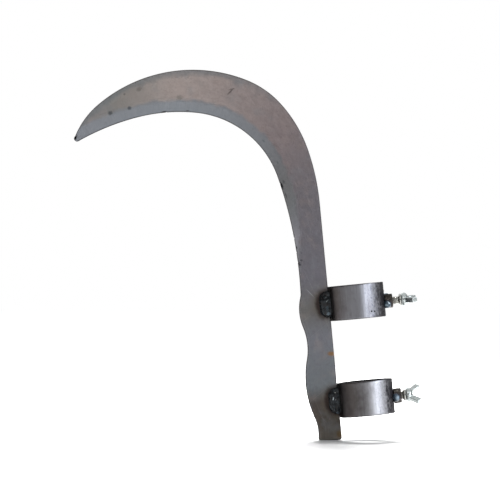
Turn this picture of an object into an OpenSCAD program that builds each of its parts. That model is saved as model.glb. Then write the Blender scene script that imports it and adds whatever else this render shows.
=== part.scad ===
// Sickle head for a pole.
// One flat steel blade rises from a wavy tang, arches over and comes down to a rounded tip.
// Two short tubes, the rings, are welded on the tang's straight back edge and take the pole.
// A hexagon nut is welded on the outer side of each ring, and a wing bolt clamps through it.
// The frame: Z runs up along the pole's axis, -X to the blade and +X to the wing bolts.
// The blade's middle plane is y = 0. The origin is on the pole's axis, half way between the rings.

/* [Pole rings] */
// Bore of the two rings
ring_bore_d = 50; // [46:1:56]
// Wall of the rings
ring_wall = 3; // [2.5:0.5:5]
// Length of each ring along the pole
ring_h = 35; // [30:1:45]
// Distance between the middles of the rings
ring_pitch = 98; // [94:1:106]
// Chamfer on the rims of the rings
ring_chamfer = 0.5; // [0.2:0.1:1]

/* [Blade] */
// Thickness of the sheet
blade_t = 3; // [2.5:0.5:5]
// How far the tang reaches below the middle between the rings
tang_drop = 87.5; // [84:0.5:92]
// Distance from the back edge to the front edge at the tang's foot
foot_w = 24; // [20:0.5:28]
// Radius of the two corners at the tang's foot
foot_corner_r = 2.5; // [1:0.5:4]
// How much lower the foot's back corner is than its front corner
foot_slant = 1.2; // [0:0.1:2]
// Chamfer on the edges that are not ground
sheet_chamfer = 0.3; // [0.1:0.1:0.5]

/* [Ground bevel] */
// Width of the bevel on each face of the blade
bevel_w = 12; // [6:1:14]
// Thickness left at the cutting edge
edge_t = 0.4; // [0.2:0.1:1]
// Length along the edge over which the bevel grows from nothing above the heel
bevel_runout = 110; // [60:5:140]

/* [Back edge, upwards to the tip] */
// Height at which the straight back edge starts to bend
back_straight_top = 151; // [145:1:155]
// Radius at the neck
back_neck_r = 232; // [224:2:240]
// Turn at the neck, in degrees
back_neck_turn = 14; // [13:0.5:15]
// Radius at the start of the shoulder
back_shoulder_r = 136; // [132:1:140]
// Turn at the start of the shoulder, in degrees
back_shoulder_turn = 22.5; // [21:0.5:24]
// Radius at the tight part of the shoulder
back_bend_r = 94; // [90:1:98]
// Turn at the tight part of the shoulder, in degrees
back_bend_turn = 27; // [26:0.5:28]
// Radius over the crown
back_crown_r = 148; // [144:1:152]
// Turn over the crown, in degrees
back_crown_turn = 62; // [60:0.5:64]
// Radius down to the tip
back_nose_r = 82; // [78:1:86]
// Turn down to the tip, in degrees
back_nose_turn = 27; // [25:0.5:29]

/* [Front edge of the tang, upwards] */
// Length of the straight start at the foot
foot_lead = 4.5; // [3:0.5:6]
// Direction of that start, in degrees from X
foot_heading = 84; // [82:0.5:86]
// Radius of the hollow above the foot
foot_hollow_r = 44; // [40:1:48]
// Turn of that hollow, in degrees
foot_hollow_turn = 26; // [24:0.5:28]
// Radius of the lower swell
low_swell_r = 94; // [90:1:98]
// Turn of the lower swell, in degrees
low_swell_turn = 35.5; // [34:0.5:37]
// Radius of the waist between the swells
waist_r = 60; // [56:1:64]
// Turn of the waist, in degrees
waist_turn = 33; // [31:0.5:35]
// Radius of the upper swell
high_swell_r = 50; // [46:1:54]
// Turn of the upper swell, in degrees
high_swell_turn = 35.5; // [34:0.5:37]
// Radius of the notch under the heel
heel_r = 14; // [12:1:18]
// Turn of that notch, in degrees
heel_turn = 15.5; // [14:0.5:17]

/* [Cutting edge, from the heel to the tip] */
// Radius at the neck
edge_neck_r = 420; // [400:5:440]
// Turn at the neck, in degrees
edge_neck_turn = 16.5; // [15.5:0.5:17.5]
// Radius round the shoulder
edge_shoulder_r = 98; // [95:1:101]
// Turn round the shoulder, in degrees
edge_shoulder_turn = 65.5; // [64:0.5:67]
// Radius under the crown
edge_crown_r = 172; // [166:2:178]
// Turn under the crown, in degrees
edge_crown_turn = 20; // [19:0.5:21]
// Radius down to the tip
edge_nose_r = 248; // [240:2:256]
// Turn down to the tip, in degrees
edge_nose_turn = 14.5; // [13.5:0.5:15.5]

/* [Nuts] */
// Outer diameter of the bolts' thread, 5/16 inch
bolt_d = 7.94; // [7:0.02:8.5]
// Width of the nuts across their flats
nut_af = 13.3; // [12.5:0.1:15]
// Height of the nuts
nut_h = 8; // [6:0.5:9]
// How far the upper bolt sits below the middle of its ring
upper_bolt_drop = 2.5; // [0:0.1:5]
// How far the lower bolt sits below the middle of its ring
lower_bolt_drop = 0.7; // [0:0.1:5]
// Turn of the upper nut from the pose with one corner on top, in degrees
upper_nut_turn = 22; // [0:1:30]

/* [Wing bolts] */
// Length of the thread under the collar
stud_l = 14.9; // [12:0.1:20]
// Gap between the upper nut and the upper collar, with the bolt as it stands
upper_gap = 8.4; // [3:0.1:9]
// Gap between the lower nut and the lower collar, with the bolt as it stands
lower_gap = 4; // [3:0.1:6]
// Diameter of the collar
collar_d = 12.4; // [11:0.1:14]
// Thickness of the collar's rim
collar_t = 1.4; // [1:0.1:2]
// Length of the cone from the thread to the collar
flare_l = 1.6; // [1:0.1:2]
// Greatest diameter of the wing head's hub, which is a flattened ball
hub_d = 14; // [13:0.1:16]
// Distance from the collar to the hub's greatest diameter
hub_middle = 3.5; // [3:0.1:4]
// Half the length that the hub would have if neither end was cut off
hub_half_l = 4.3; // [4.1:0.1:5]
// Distance from the collar to the hub's outer end
hub_l = 7.2; // [7:0.1:7.6]
// Distance from the collar to the bottom of the notch between the wings
notch_bottom = 6.9; // [6.5:0.1:7]
// Radius of that notch
notch_r = 5.6; // [5:0.1:6]
// Length of the wing head from the collar to the wing tips
head_l = 16.4; // [15:0.1:20]
// Distance between the outer corners of the wings
wing_span = 26.8; // [24:0.2:32]
// Direction of the wings' outer edges, in degrees from the collar's face
wing_slope = 54; // [50:1:58]
// Thickness of the wings at the hub
wing_root_t = 5.2; // [4:0.1:6]
// Thickness of the wings at their ends
wing_tip_t = 4.7; // [3:0.1:5]
// Width of the wings at their ends
wing_tip_w = 4.4; // [3:0.1:5]
// Turn of the upper wings from the blade's plane, in degrees
upper_wing_turn = 96; // [0:1:180]
// Turn of the lower wings from the blade's plane, in degrees
lower_wing_turn = 130; // [0:1:180]

/* [Welds] */
// Length of the beads between a ring and the tang
bead_l = 25; // [20:1:30]
// How far a bead reaches over the tang
bead_on_tang = 10; // [6:0.5:12]
// How far a bead reaches round a ring, in degrees
bead_on_ring = 17; // [12:1:20]
// How much a bead stands proud of a straight fillet
bead_crown = 1.6; // [0.5:0.1:2.5]
// How much the strands of a bead stand out from it
strand_h = 0.5; // [0:0.1:0.8]
// Strands that lie side by side in an upper bead
upper_strands = 2; // [1:1:4]
// Strands that lie side by side in a lower bead
lower_strands = 3; // [1:1:4]
// Ripples along one bead
bead_ripples = 7; // [4:1:10]
// Radius of the round tacks between a nut and its ring
tack_r = 3.8; // [3.5:0.1:4]
// How deep weld metal bites into what it joins
weld_bite = 0.06; // [0.04:0.01:0.1]

/* [Hidden] */
$fn = 64;

ring_r = ring_bore_d / 2 + ring_wall;
ring_z = ring_pitch / 2;
upper_bolt_z = ring_z - upper_bolt_drop;
lower_bolt_z = -ring_z - lower_bolt_drop;
nut_end_x = ring_r + nut_h;
nut_corner_r = nut_af / 2 / cos(30);
running_gap = 0.05;
body_gap = 0.3;
ring_hole_r = bolt_d / 2 + body_gap;

// Height over which the slant of the foot fades out
foot_fade = 14;

// The room that the bevel leaves at the back edge near the tip, in chamfers of that edge
bevel_room = 1.5;

// Nut: how much its chamfers cut into the flats, how far the blank that they are turned on stands
// over the corners, and how wide the mouth of the bore is broken
nut_face_cut = 0.1;
nut_blank_over = 0.1;
nut_mouth = 0.6;

// Stud: chamfers on the thread's end and the collar's rim, and the spigot that carries the wing head
stud_chamfer = 1;
collar_chamfer = 0.3;
spigot_r = 2.5;
spigot_l = 4.6;
spigot_chamfer = 0.4;

// Wing head: length of a wing's outer edge
wing_edge_l = 12;

// Tacks: the back one's place from the bolt's axis, the distance of its middle from the ring, and
// the radius round the bolt that stays free of weld metal
upper_tack = [6.4, 3.5];
lower_tack = [7.2, 2.1];
tack_off = 2.7;
tack_free_r = bolt_d / 2 + 1.4;

// Beads: how far the ends round down, the height of the ripples as a share of the bead, and the
// share of a strand's height that lies above the bead's own crown
bead_end_round = 0.86;
bead_ripple_h = 0.05;
strand_rise = 0.4;

// Each edge of the blade is a chain of tangent arcs: [radius, turn], with a left turn positive.
// A straight stretch is [0, length].
foot_start = [-ring_r - foot_w, -tang_drop];
tang_chain = [
    [0, foot_lead],
    [foot_hollow_r, foot_hollow_turn],
    [low_swell_r, -low_swell_turn],
    [waist_r, waist_turn],
    [high_swell_r, -high_swell_turn],
    [heel_r, heel_turn],
];
edge_chain = [
    [edge_neck_r, edge_neck_turn],
    [edge_shoulder_r, edge_shoulder_turn],
    [edge_crown_r, edge_crown_turn],
    [edge_nose_r, edge_nose_turn],
];
tang_l = chain_length(tang_chain);
heel = walk(foot_start, foot_heading, tang_chain, tang_l);
heel_point = heel[0];
heel_heading = heel[1];
edge_l = chain_length(edge_chain);
back_chain = [
    [0, back_straight_top - heel_point[1]],
    [back_neck_r, back_neck_turn],
    [back_shoulder_r, back_shoulder_turn],
    [back_bend_r, back_bend_turn],
    [back_crown_r, back_crown_turn],
    [back_nose_r, back_nose_turn],
];
back_start = [-ring_r, heel_point[1]];
back_l = chain_length(back_chain);

corner_steps = 5;
tang_steps = 38;
arch_steps = 60;
tip_steps = 5;
tip_turn = 85;
bead_steps = 28;
seat_steps = 4;
over_steps = 12;
hub_steps = 12;

// Length of one arc of a chain
function arc_length(arc) = arc[0] == 0 ? arc[1] : arc[0] * abs(arc[1]) * PI / 180;

// Length of a whole chain
function chain_length(chain, i = 0) =
    i == len(chain) ? 0 : arc_length(chain[i]) + chain_length(chain, i + 1);

// Point and heading at a length along one arc
function arc_at(p, heading, arc, s) =
    arc[0] == 0 ? [p + s * [cos(heading), sin(heading)], heading] :
    let (
        side = sign(arc[1]),
        centre = p + side * arc[0] * [-sin(heading), cos(heading)],
        now = heading + side * s / arc[0] * 180 / PI
    )
    [centre + side * arc[0] * [sin(now), -cos(now)], now];

// Point and heading at a length along a chain
function walk(p, heading, chain, s, i = 0) =
    let (l = arc_length(chain[i]))
    i == len(chain) - 1 || s <= l ? arc_at(p, heading, chain[i], s) :
    let (next = arc_at(p, heading, chain[i], l))
    walk(next[0], next[1], chain, s - l, i + 1);

// How far a rounded foot corner draws the edge in, at a height above the foot
function corner_inset(h) =
    h >= foot_corner_r ? 0 : foot_corner_r - sqrt(foot_corner_r^2 - (foot_corner_r - h)^2);

// Width of the bevel at a length above the heel
function bevel_at(s) =
    bevel_w * (s >= bevel_runout ? 1 : (1 - cos(180 * s / bevel_runout)) / 2);

// One station of the blade: [front point, back point, bevel width]
function tang_station(s) =
    let (
        front = walk(foot_start, foot_heading, tang_chain, s)[0],
        up = front[1] + tang_drop,
        inset = corner_inset(up),
        slant = foot_slant * max(0, 1 - up / foot_fade)
    )
    [front + [inset, 0], [-ring_r - inset, front[1] - slant], 0];

function arch_station(f) =
    [walk(heel_point, heel_heading, edge_chain, f * edge_l)[0],
     walk(back_start, 90, back_chain, f * back_l)[0],
     bevel_at(f * edge_l)];

// The tip is rounded over the last pair of points
tip_front = arch_station(1)[0];
tip_back = arch_station(1)[1];
tip_middle = (tip_front + tip_back) / 2;
tip_r = norm(tip_back - tip_front) / 2;
tip_across = (tip_back - tip_front) / (2 * tip_r);
tip_ahead = [-tip_across[1], tip_across[0]];
function tip_station(turn) =
    let (middle = tip_middle + tip_r * sin(turn) * tip_ahead)
    [middle - tip_r * cos(turn) * tip_across, middle + tip_r * cos(turn) * tip_across, bevel_w];

blade_stations = concat(
    [for (k = [0:corner_steps - 1]) tang_station(foot_corner_r * (1 - cos(90 * k / corner_steps)))],
    [for (k = [0:tang_steps - 1]) tang_station(foot_corner_r + k * (tang_l - foot_corner_r) / tang_steps)],
    [for (k = [0:arch_steps]) arch_station(k / arch_steps)],
    [for (k = [1:tip_steps]) tip_station(tip_turn * k / tip_steps)]
);

// Eight corners of the blade's section at a station, from the front edge to the back and round again
function blade_section(station) =
    let (
        front = station[0],
        width = norm(station[1] - front),
        along = (station[1] - front) / width,
        grind_depth = station[2] * (blade_t - edge_t) / 2 / bevel_w,
        depth = max(grind_depth, sheet_chamfer),
        reach = max(station[2], sheet_chamfer),
        kept = min(reach, width - bevel_room * min(sheet_chamfer, width / 4)),
        half_edge = blade_t / 2 - depth,
        half_flat = half_edge + depth * kept / reach,
        back_cut = min(sheet_chamfer, half_flat / 2, width / 4),
        outline = [
            [0, -half_edge], [kept, -half_flat], [width - back_cut, -half_flat],
            [width, back_cut - half_flat], [width, half_flat - back_cut],
            [width - back_cut, half_flat], [kept, half_flat], [0, half_edge],
        ]
    )
    [for (p = outline) let (q = front + p[0] * along) [q[0], p[1], q[1]]];

// A closed solid through a row of sections that all have the same number of points
module loft(sections) {
    n = len(sections[0]);
    last = (len(sections) - 1) * n;
    points = [for (section = sections) for (p = section) p];
    walls = [
        for (i = [0:len(sections) - 2]) for (j = [0:n - 1])
            let (a = i * n + j, b = i * n + (j + 1) % n)
            for (face = [[a, b + n, b], [a, a + n, b + n]]) face
    ];
    start_cap = [for (j = [1:n - 2]) [0, j, j + 1]];
    end_cap = [for (j = [1:n - 2]) [last, last + j + 1, last + j]];
    polyhedron(points, concat(walls, start_cap, end_cap));
}

module blade() {
    color("#7d777a")
        loft([for (station = blade_stations) blade_section(station)]);
}

// Half of a ring's wall in section, with chamfered rims
ring_profile = [
    [ring_bore_d / 2, ring_chamfer - ring_h / 2],
    [ring_bore_d / 2 + ring_chamfer, -ring_h / 2],
    [ring_r - ring_chamfer, -ring_h / 2],
    [ring_r, ring_chamfer - ring_h / 2],
    [ring_r, ring_h / 2 - ring_chamfer],
    [ring_r - ring_chamfer, ring_h / 2],
    [ring_bore_d / 2 + ring_chamfer, ring_h / 2],
    [ring_bore_d / 2, ring_h / 2 - ring_chamfer],
];

module ring(z, bolt_z) {
    color("#5d5a5c")
        difference() {
            translate([0, 0, z])
                rotate_extrude($fn = 96)
                    polygon(ring_profile);
            along_bolt(bolt_z, ring_bore_d / 2 - ring_wall)
                cylinder(r = ring_hole_r, h = 3 * ring_wall);
        }
}

// Puts a piece that is drawn along Z on a bolt's axis, from a distance off the pole's axis outwards
module along_bolt(z, x, turn = 0) {
    translate([x, 0, z])
        rotate([0, 90, 0])
            rotate([0, 0, turn])
                children();
}

// A hexagon nut with both faces chamfered round and its bore countersunk
module nut(z, turn) {
    face_r = nut_af / 2 - nut_face_cut;
    blank_r = nut_corner_r + nut_blank_over;
    chamfer_h = (blank_r - face_r) * tan(30);
    bore_r = bolt_d / 2 + running_gap;
    color("#37322f")
        along_bolt(z, ring_r, turn)
            difference() {
                intersection() {
                    cylinder(r = nut_corner_r, h = nut_h, $fn = 6);
                    rotate_extrude()
                        polygon([
                            [0, 0], [face_r, 0], [blank_r, chamfer_h],
                            [blank_r, nut_h - chamfer_h], [face_r, nut_h], [0, nut_h],
                        ]);
                }
                translate([0, 0, -1])
                    cylinder(r = bore_r, h = nut_h + 2);
                translate([0, 0, nut_h - nut_mouth])
                    cylinder(r1 = bore_r, r2 = bore_r + 2 * nut_mouth, h = 2 * nut_mouth);
            }
}

// How far a bead stands out at a share of the way over it: one crown with strands side by side on it
function bead_hump(v, strands) =
    sin(180 * v) * (bead_crown + strand_h * (abs(sin(180 * strands * v)) + strand_rise - 1));

// One section of a bead: along the tang, round the ring, and back over the crown.
// The share is how full the bead is there, and side is -1 on the front and 1 on the back.
function bead_section(z, side, strands, share) =
    let (
        inner_y = blade_t / 2 - weld_bite,
        inner_r = ring_r - weld_bite,
        first = asin(inner_y / inner_r),
        last = first + (bead_on_ring - first) * share,
        on_ring = [for (k = [0:seat_steps])
            let (a = first + (last - first) * k / seat_steps) inner_r * [-cos(a), sin(a)]],
        toe = [-ring_r - bead_on_tang * share, inner_y],
        high = on_ring[seat_steps],
        span = toe - high,
        out = [span[1], -span[0]] / norm(span),
        over = [for (k = [1:over_steps - 1])
            let (v = k / over_steps) high + v * span + share * bead_hump(v, strands) * out]
    )
    [for (p = concat(on_ring, over, [toe])) [p[0], side * p[1], z]];

// How full a bead is at a share of its length: round ends and a row of ripples between them
function bead_share(v) =
    let (end = abs(2 * v - 1))
    sqrt(1 - bead_end_round * end^6) * (1 + bead_ripple_h * cos(360 * bead_ripples * v));

module bead(z, side, strands) {
    stations = [for (k = [0:bead_steps]) k / bead_steps];
    color("#2b2d38")
        loft([for (v = stations)
            bead_section(z + side * bead_l * (v - 0.5), side, strands, bead_share(v))]);
}

// A round tack that joins a nut to its ring, at a place [y, z] from the bolt's axis
module tack(bolt_z, place) {
    tack_z = bolt_z + place[1];
    color("#3b4048")
        difference() {
            translate([ring_r + tack_off, place[0], tack_z])
                sphere(r = tack_r);
            translate([0, 0, tack_z - 2 * tack_r])
                cylinder(r = ring_r - weld_bite, h = 4 * tack_r, $fn = 96);
            along_bolt(bolt_z, ring_r - 1)
                cylinder(r = tack_free_r, h = nut_h + 2);
        }
}

// The threaded stud with its flared collar, and the spigot that carries the wing head.
// It is drawn with the collar's outer face at z = 0 and the thread below.
module stud(bolt_z, gap) {
    thread_r = bolt_d / 2;
    thread_top = -collar_t - flare_l;
    color("#b9bdbf")
        along_bolt(bolt_z, nut_end_x + gap)
            rotate_extrude()
                polygon([
                    [0, -stud_l], [thread_r - stud_chamfer, -stud_l],
                    [thread_r, stud_chamfer - stud_l], [thread_r, thread_top],
                    [collar_d / 2, -collar_t], [collar_d / 2, -collar_chamfer],
                    [collar_d / 2 - collar_chamfer, 0], [spigot_r, 0],
                    [spigot_r, spigot_l - spigot_chamfer], [spigot_r - spigot_chamfer, spigot_l],
                    [0, spigot_l],
                ]);
}

// Half of the hub in section: a flattened ball that is cut off at both ends
hub_low = asin((body_gap - hub_middle) / hub_half_l);
hub_high = asin((hub_l - hub_middle) / hub_half_l);
hub_profile = concat(
    [[0, body_gap]],
    [for (k = [0:hub_steps])
        let (a = hub_low + (hub_high - hub_low) * k / hub_steps)
        [hub_d / 2 * cos(a), hub_middle + hub_half_l * sin(a)]],
    [[0, hub_l]]
);

// Half of the wings' outline: x is off the bolt's axis and y along it, away from the collar
wing_corner = [wing_span / 2, head_l - wing_tip_w * cos(wing_slope)];
wing_root = wing_corner - wing_edge_l * [cos(wing_slope), sin(wing_slope)];
notch_y = notch_bottom + notch_r;
wing_half = concat(
    [[0, hub_middle], wing_root, wing_corner],
    [wing_corner + wing_tip_w * [-sin(wing_slope), cos(wing_slope)]],
    [for (a = [20:14:90]) [notch_r * cos(a), notch_y - notch_r * sin(a)]]
);

// Both wings in one plate that thins towards the ends, cut from the half outline and its mirror
module wings() {
    intersection() {
        rotate([90, 0, 0])
            linear_extrude(height = 2 * wing_root_t, center = true) {
                polygon(wing_half);
                mirror([1, 0])
                    polygon(wing_half);
            }
        rotate([90, 0, 90])
            linear_extrude(height = 2 * wing_span, center = true)
                polygon([
                    [-wing_root_t / 2, 0], [wing_root_t / 2, 0],
                    [wing_tip_t / 2, head_l + 1], [-wing_tip_t / 2, head_l + 1],
                ]);
    }
}

module wing_head(bolt_z, gap, turn) {
    color("#c3c8ca")
        along_bolt(bolt_z, nut_end_x + gap, turn)
            difference() {
                union() {
                    rotate_extrude()
                        polygon(hub_profile);
                    wings();
                }
                translate([0, 0, -1])
                    cylinder(r = spigot_r + running_gap, h = spigot_l + 1 + body_gap);
            }
}

blade();
ring(ring_z, upper_bolt_z);  // upper_ring
ring(-ring_z, lower_bolt_z);  // lower_ring
bead(ring_z, -1, upper_strands);  // upper_front_weld
bead(ring_z, 1, upper_strands);  // upper_back_weld
bead(-ring_z, -1, lower_strands);  // lower_front_weld
bead(-ring_z, 1, lower_strands);  // lower_back_weld
nut(upper_bolt_z, upper_nut_turn);  // upper_nut
nut(lower_bolt_z, 0);  // lower_nut
tack(upper_bolt_z, -upper_tack);  // upper_nut_front_tack
tack(upper_bolt_z, upper_tack);  // upper_nut_back_tack
tack(lower_bolt_z, -lower_tack);  // lower_nut_front_tack
tack(lower_bolt_z, lower_tack);  // lower_nut_back_tack
stud(upper_bolt_z, upper_gap);  // upper_bolt_stud
wing_head(upper_bolt_z, upper_gap, upper_wing_turn);  // upper_bolt_wings
stud(lower_bolt_z, lower_gap);  // lower_bolt_stud
wing_head(lower_bolt_z, lower_gap, lower_wing_turn);  // lower_bolt_wings
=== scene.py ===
"""A sickle head for a pole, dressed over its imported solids.

The solids give the places. Each piece of the real tool is shaped anew here at a finer grain,
takes the finish of its real material, and rides on the body that its solid belongs to.
Sizes in the classes are in millimetres, and meshes are in metres.
"""

import logging
import math
import random
from collections.abc import Callable, Sequence
from dataclasses import dataclass, replace
from enum import Enum

import bmesh
import bpy
from mathutils import Matrix, Vector, noise


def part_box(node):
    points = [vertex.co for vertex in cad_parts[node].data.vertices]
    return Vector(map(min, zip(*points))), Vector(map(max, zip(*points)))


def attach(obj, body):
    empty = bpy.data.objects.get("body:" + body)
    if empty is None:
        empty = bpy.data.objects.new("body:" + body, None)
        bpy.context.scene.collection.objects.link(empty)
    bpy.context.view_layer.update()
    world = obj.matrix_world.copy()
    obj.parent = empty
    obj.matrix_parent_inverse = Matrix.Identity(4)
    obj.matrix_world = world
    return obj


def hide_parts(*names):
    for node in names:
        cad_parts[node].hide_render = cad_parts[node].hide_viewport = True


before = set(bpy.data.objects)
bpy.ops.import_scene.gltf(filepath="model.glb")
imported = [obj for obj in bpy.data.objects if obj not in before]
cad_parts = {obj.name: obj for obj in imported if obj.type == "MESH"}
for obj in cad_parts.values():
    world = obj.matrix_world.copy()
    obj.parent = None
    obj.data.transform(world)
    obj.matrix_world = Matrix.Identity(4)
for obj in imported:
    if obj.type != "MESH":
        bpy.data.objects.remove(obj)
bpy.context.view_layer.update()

log = logging.getLogger("sickle")

MM = 0.001
MERGE = 0.002 * MM
NEAR = 0.01 * MM


class Level(Enum):
    """The two rings, with all that is welded to them or screwed into them."""

    UPPER = "upper"
    LOWER = "lower"


class Side(Enum):
    """The face of the blade that a weld is on."""

    FRONT = "front"
    BACK = "back"

    def sign(self) -> float:
        """Return the direction along Y of that face."""
        return -1.0 if self is Side.FRONT else 1.0


class Slot(Enum):
    """The record's material slots."""

    BLADE = "blade_steel"
    RING = "ring_steel"
    WELD = "weld_metal"
    NUT = "nut_steel"
    ZINC = "zinc_plated_steel"


class Blend(Enum):
    """What a mix node mixes: its data type, then the numbers of its two inputs and its result."""

    COLOUR = ("RGBA", 6, 7, 2)
    NUMBER = ("FLOAT", 2, 3, 0)


def srgb(code: str) -> tuple[float, float, float, float]:
    """Turn an sRGB hex colour into the linear colour that a socket takes.

    Args:
        code: The colour as "#rrggbb".

    Returns:
        Linear red, green and blue, and an alpha of 1.
    """
    parts = [int(code[i:i + 2], 16) / 255 for i in (1, 3, 5)]
    red, green, blue = (c / 12.92 if c <= 0.04045 else ((c + 0.055) / 1.055) ** 2.4 for c in parts)
    return red, green, blue, 1.0


def add_node(
    tree: bpy.types.NodeTree,
    kind: str,
    inputs: dict | None = None,
    stops: Sequence[tuple[float, str]] = (),
    **settings: object,
) -> bpy.types.Node:
    """Add one node with its settings, its inputs and, on a colour ramp, its stops.

    Args:
        tree: The node tree that takes the node.
        kind: The node's type.
        inputs: A constant or the socket that feeds it, for each input by its name or number.
        stops: Places and hex colours of a colour ramp.
        settings: The node's own properties.

    Returns:
        The new node.
    """
    node = tree.nodes.new(kind)
    for name, value in settings.items():
        setattr(node, name, value)
    for key, value in (inputs or {}).items():
        if isinstance(value, bpy.types.NodeSocket):
            tree.links.new(value, node.inputs[key])
        else:
            node.inputs[key].default_value = value
    for i, (place, code) in enumerate(stops):
        ramp = node.color_ramp.elements
        stop = ramp[i] if i < len(ramp) else ramp.new(place)
        stop.position = place
        stop.color = srgb(code)
    return node


def deselect() -> None:
    """Leave edit mode and deselect everything, so that an operator acts on the new piece alone."""
    if bpy.context.object and bpy.context.object.mode != "OBJECT":
        bpy.ops.object.mode_set(mode="OBJECT")
    bpy.ops.object.select_all(action="DESELECT")


def edit(piece: bpy.types.Object, part: str = "FACE") -> None:
    """Open a piece in edit mode with nothing of it selected.

    Args:
        piece: The piece to open.
        part: What is selected there: VERT, EDGE or FACE.
    """
    deselect()
    bpy.context.view_layer.objects.active = piece
    piece.select_set(True)
    bpy.ops.object.mode_set(mode="EDIT")
    bpy.ops.mesh.select_mode(type=part)
    bpy.ops.mesh.select_all(action="DESELECT")


def pick_faces(piece: bpy.types.Object, test: Callable[[Vector, Vector], bool]) -> None:
    """Select the faces of a piece in edit mode by place and normal.

    Args:
        piece: The piece in edit mode.
        test: Says from a face's middle and normal whether it is selected.
    """
    bpy.ops.mesh.select_all(action="DESELECT")
    shape = bmesh.from_edit_mesh(piece.data)
    for face in shape.faces:
        if test(face.calc_center_median(), face.normal):
            face.select_set(True)
    bmesh.update_edit_mesh(piece.data)


def pick_edges(piece: bpy.types.Object, test: Callable[[Vector, Vector], bool]) -> None:
    """Select the edges of a piece in edit mode by their two ends.

    Args:
        piece: The piece in edit mode.
        test: Says from an edge's ends whether it is selected.
    """
    bpy.ops.mesh.select_all(action="DESELECT")
    shape = bmesh.from_edit_mesh(piece.data)
    for edge in shape.edges:
        if test(edge.verts[0].co, edge.verts[1].co):
            edge.select_set(True)
    bmesh.update_edit_mesh(piece.data)


def apply_modifier(piece: bpy.types.Object, kind: str, **settings: object) -> None:
    """Put a modifier on a piece and apply it.

    Args:
        piece: The piece to change.
        kind: The modifier's type.
        settings: The modifier's own properties.
    """
    deselect()
    bpy.context.view_layer.objects.active = piece
    piece.select_set(True)
    modifier = piece.modifiers.new(kind.lower(), kind)
    for name, value in settings.items():
        setattr(modifier, name, value)
    bpy.ops.object.modifier_apply(modifier=modifier.name)


def cut_with(piece: bpy.types.Object, tool: bpy.types.Object, operation: str) -> None:
    """Cut a piece with a tool that is thrown away afterwards.

    Args:
        piece: The piece to cut.
        tool: The closed shape that cuts it.
        operation: DIFFERENCE, INTERSECT or UNION.
    """
    apply_modifier(piece, "BOOLEAN", object=tool, operation=operation, solver="EXACT")
    bpy.data.objects.remove(tool)


def close_up(piece: bpy.types.Object, degrees: float = 32.0) -> None:
    """Merge what lies double, turn all faces outwards and shade the piece smooth by angle.

    Args:
        piece: The finished shape.
        degrees: Faces that meet at a greater angle keep a sharp edge between them.
    """
    edit(piece, "VERT")
    bpy.ops.mesh.select_all(action="SELECT")
    bpy.ops.mesh.remove_doubles(threshold=MERGE)
    bpy.ops.mesh.normals_make_consistent(inside=False)
    bpy.ops.object.mode_set(mode="OBJECT")
    bpy.ops.object.shade_smooth_by_angle(angle=math.radians(degrees))


def new_piece(name: str) -> bpy.types.Object:
    """Name the primitive that was just added.

    Args:
        name: The piece's name.

    Returns:
        The piece.
    """
    piece = bpy.context.active_object
    piece.name = name
    piece.data.name = name
    return piece


def add_cylinder(radius: float, depth: float, z: float = 0.0, vertices: int = 64) -> bpy.types.Object:
    """Add a closed cylinder along Z.

    Args:
        radius: Its radius, in millimetres.
        depth: Its length, in millimetres.
        z: The height of its middle, in millimetres.
        vertices: How many points it has round.

    Returns:
        The cylinder.
    """
    bpy.ops.mesh.primitive_cylinder_add(
        vertices=vertices, radius=radius * MM, depth=depth * MM, location=(0, 0, z * MM)
    )
    return bpy.context.active_object


def draw_out(rise: float, size: float) -> None:
    """Extrude the selected face along Z by millimetres, and resize it across by a factor."""
    bpy.ops.mesh.extrude_region_move(TRANSFORM_OT_translate={"value": (0, 0, rise * MM)})
    bpy.ops.transform.resize(value=(size, size, 1))


def reshape(piece: bpy.types.Object, place: Callable[[Vector], Vector]) -> None:
    """Move every point of a piece by a rule.

    Args:
        piece: The piece in object mode.
        place: Gives a point's new place from its old one.
    """
    for vertex in piece.data.vertices:
        vertex.co = place(vertex.co)
    piece.data.update()


def set_down(piece: bpy.types.Object, matrix: Matrix) -> None:
    """Put a piece in its place, with the place in its mesh and its object at the origin.

    Args:
        piece: The piece as it was modelled.
        matrix: From the modelling frame to the row frame.
    """
    piece.data.transform(matrix @ piece.matrix_world)
    piece.matrix_world = Matrix.Identity(4)


def hand_over(
    piece: bpy.types.Object, finish: bpy.types.Material, slot: Slot, body: str, *nodes: str
) -> bpy.types.Object:
    """Give a finished piece its material and its body, and hide the solids that it stands for.

    Args:
        piece: The finished piece.
        finish: Its material.
        slot: Not used.
        body: The body that it rides on.
        nodes: The solids that it replaces.

    Returns:
        The piece.
    """
    piece.data.materials.clear()
    piece.data.materials.append(finish)
    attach(piece, body)
    if nodes:
        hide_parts(*nodes)
    log.info("%s: %d faces, on %s", piece.name, len(piece.data.polygons), body)
    return piece


@dataclass(frozen=True)
class Tint:
    """A colour that a pattern or a distance brings out between two of its values."""

    colour: str
    start: float
    full: float
    amount: float


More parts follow.
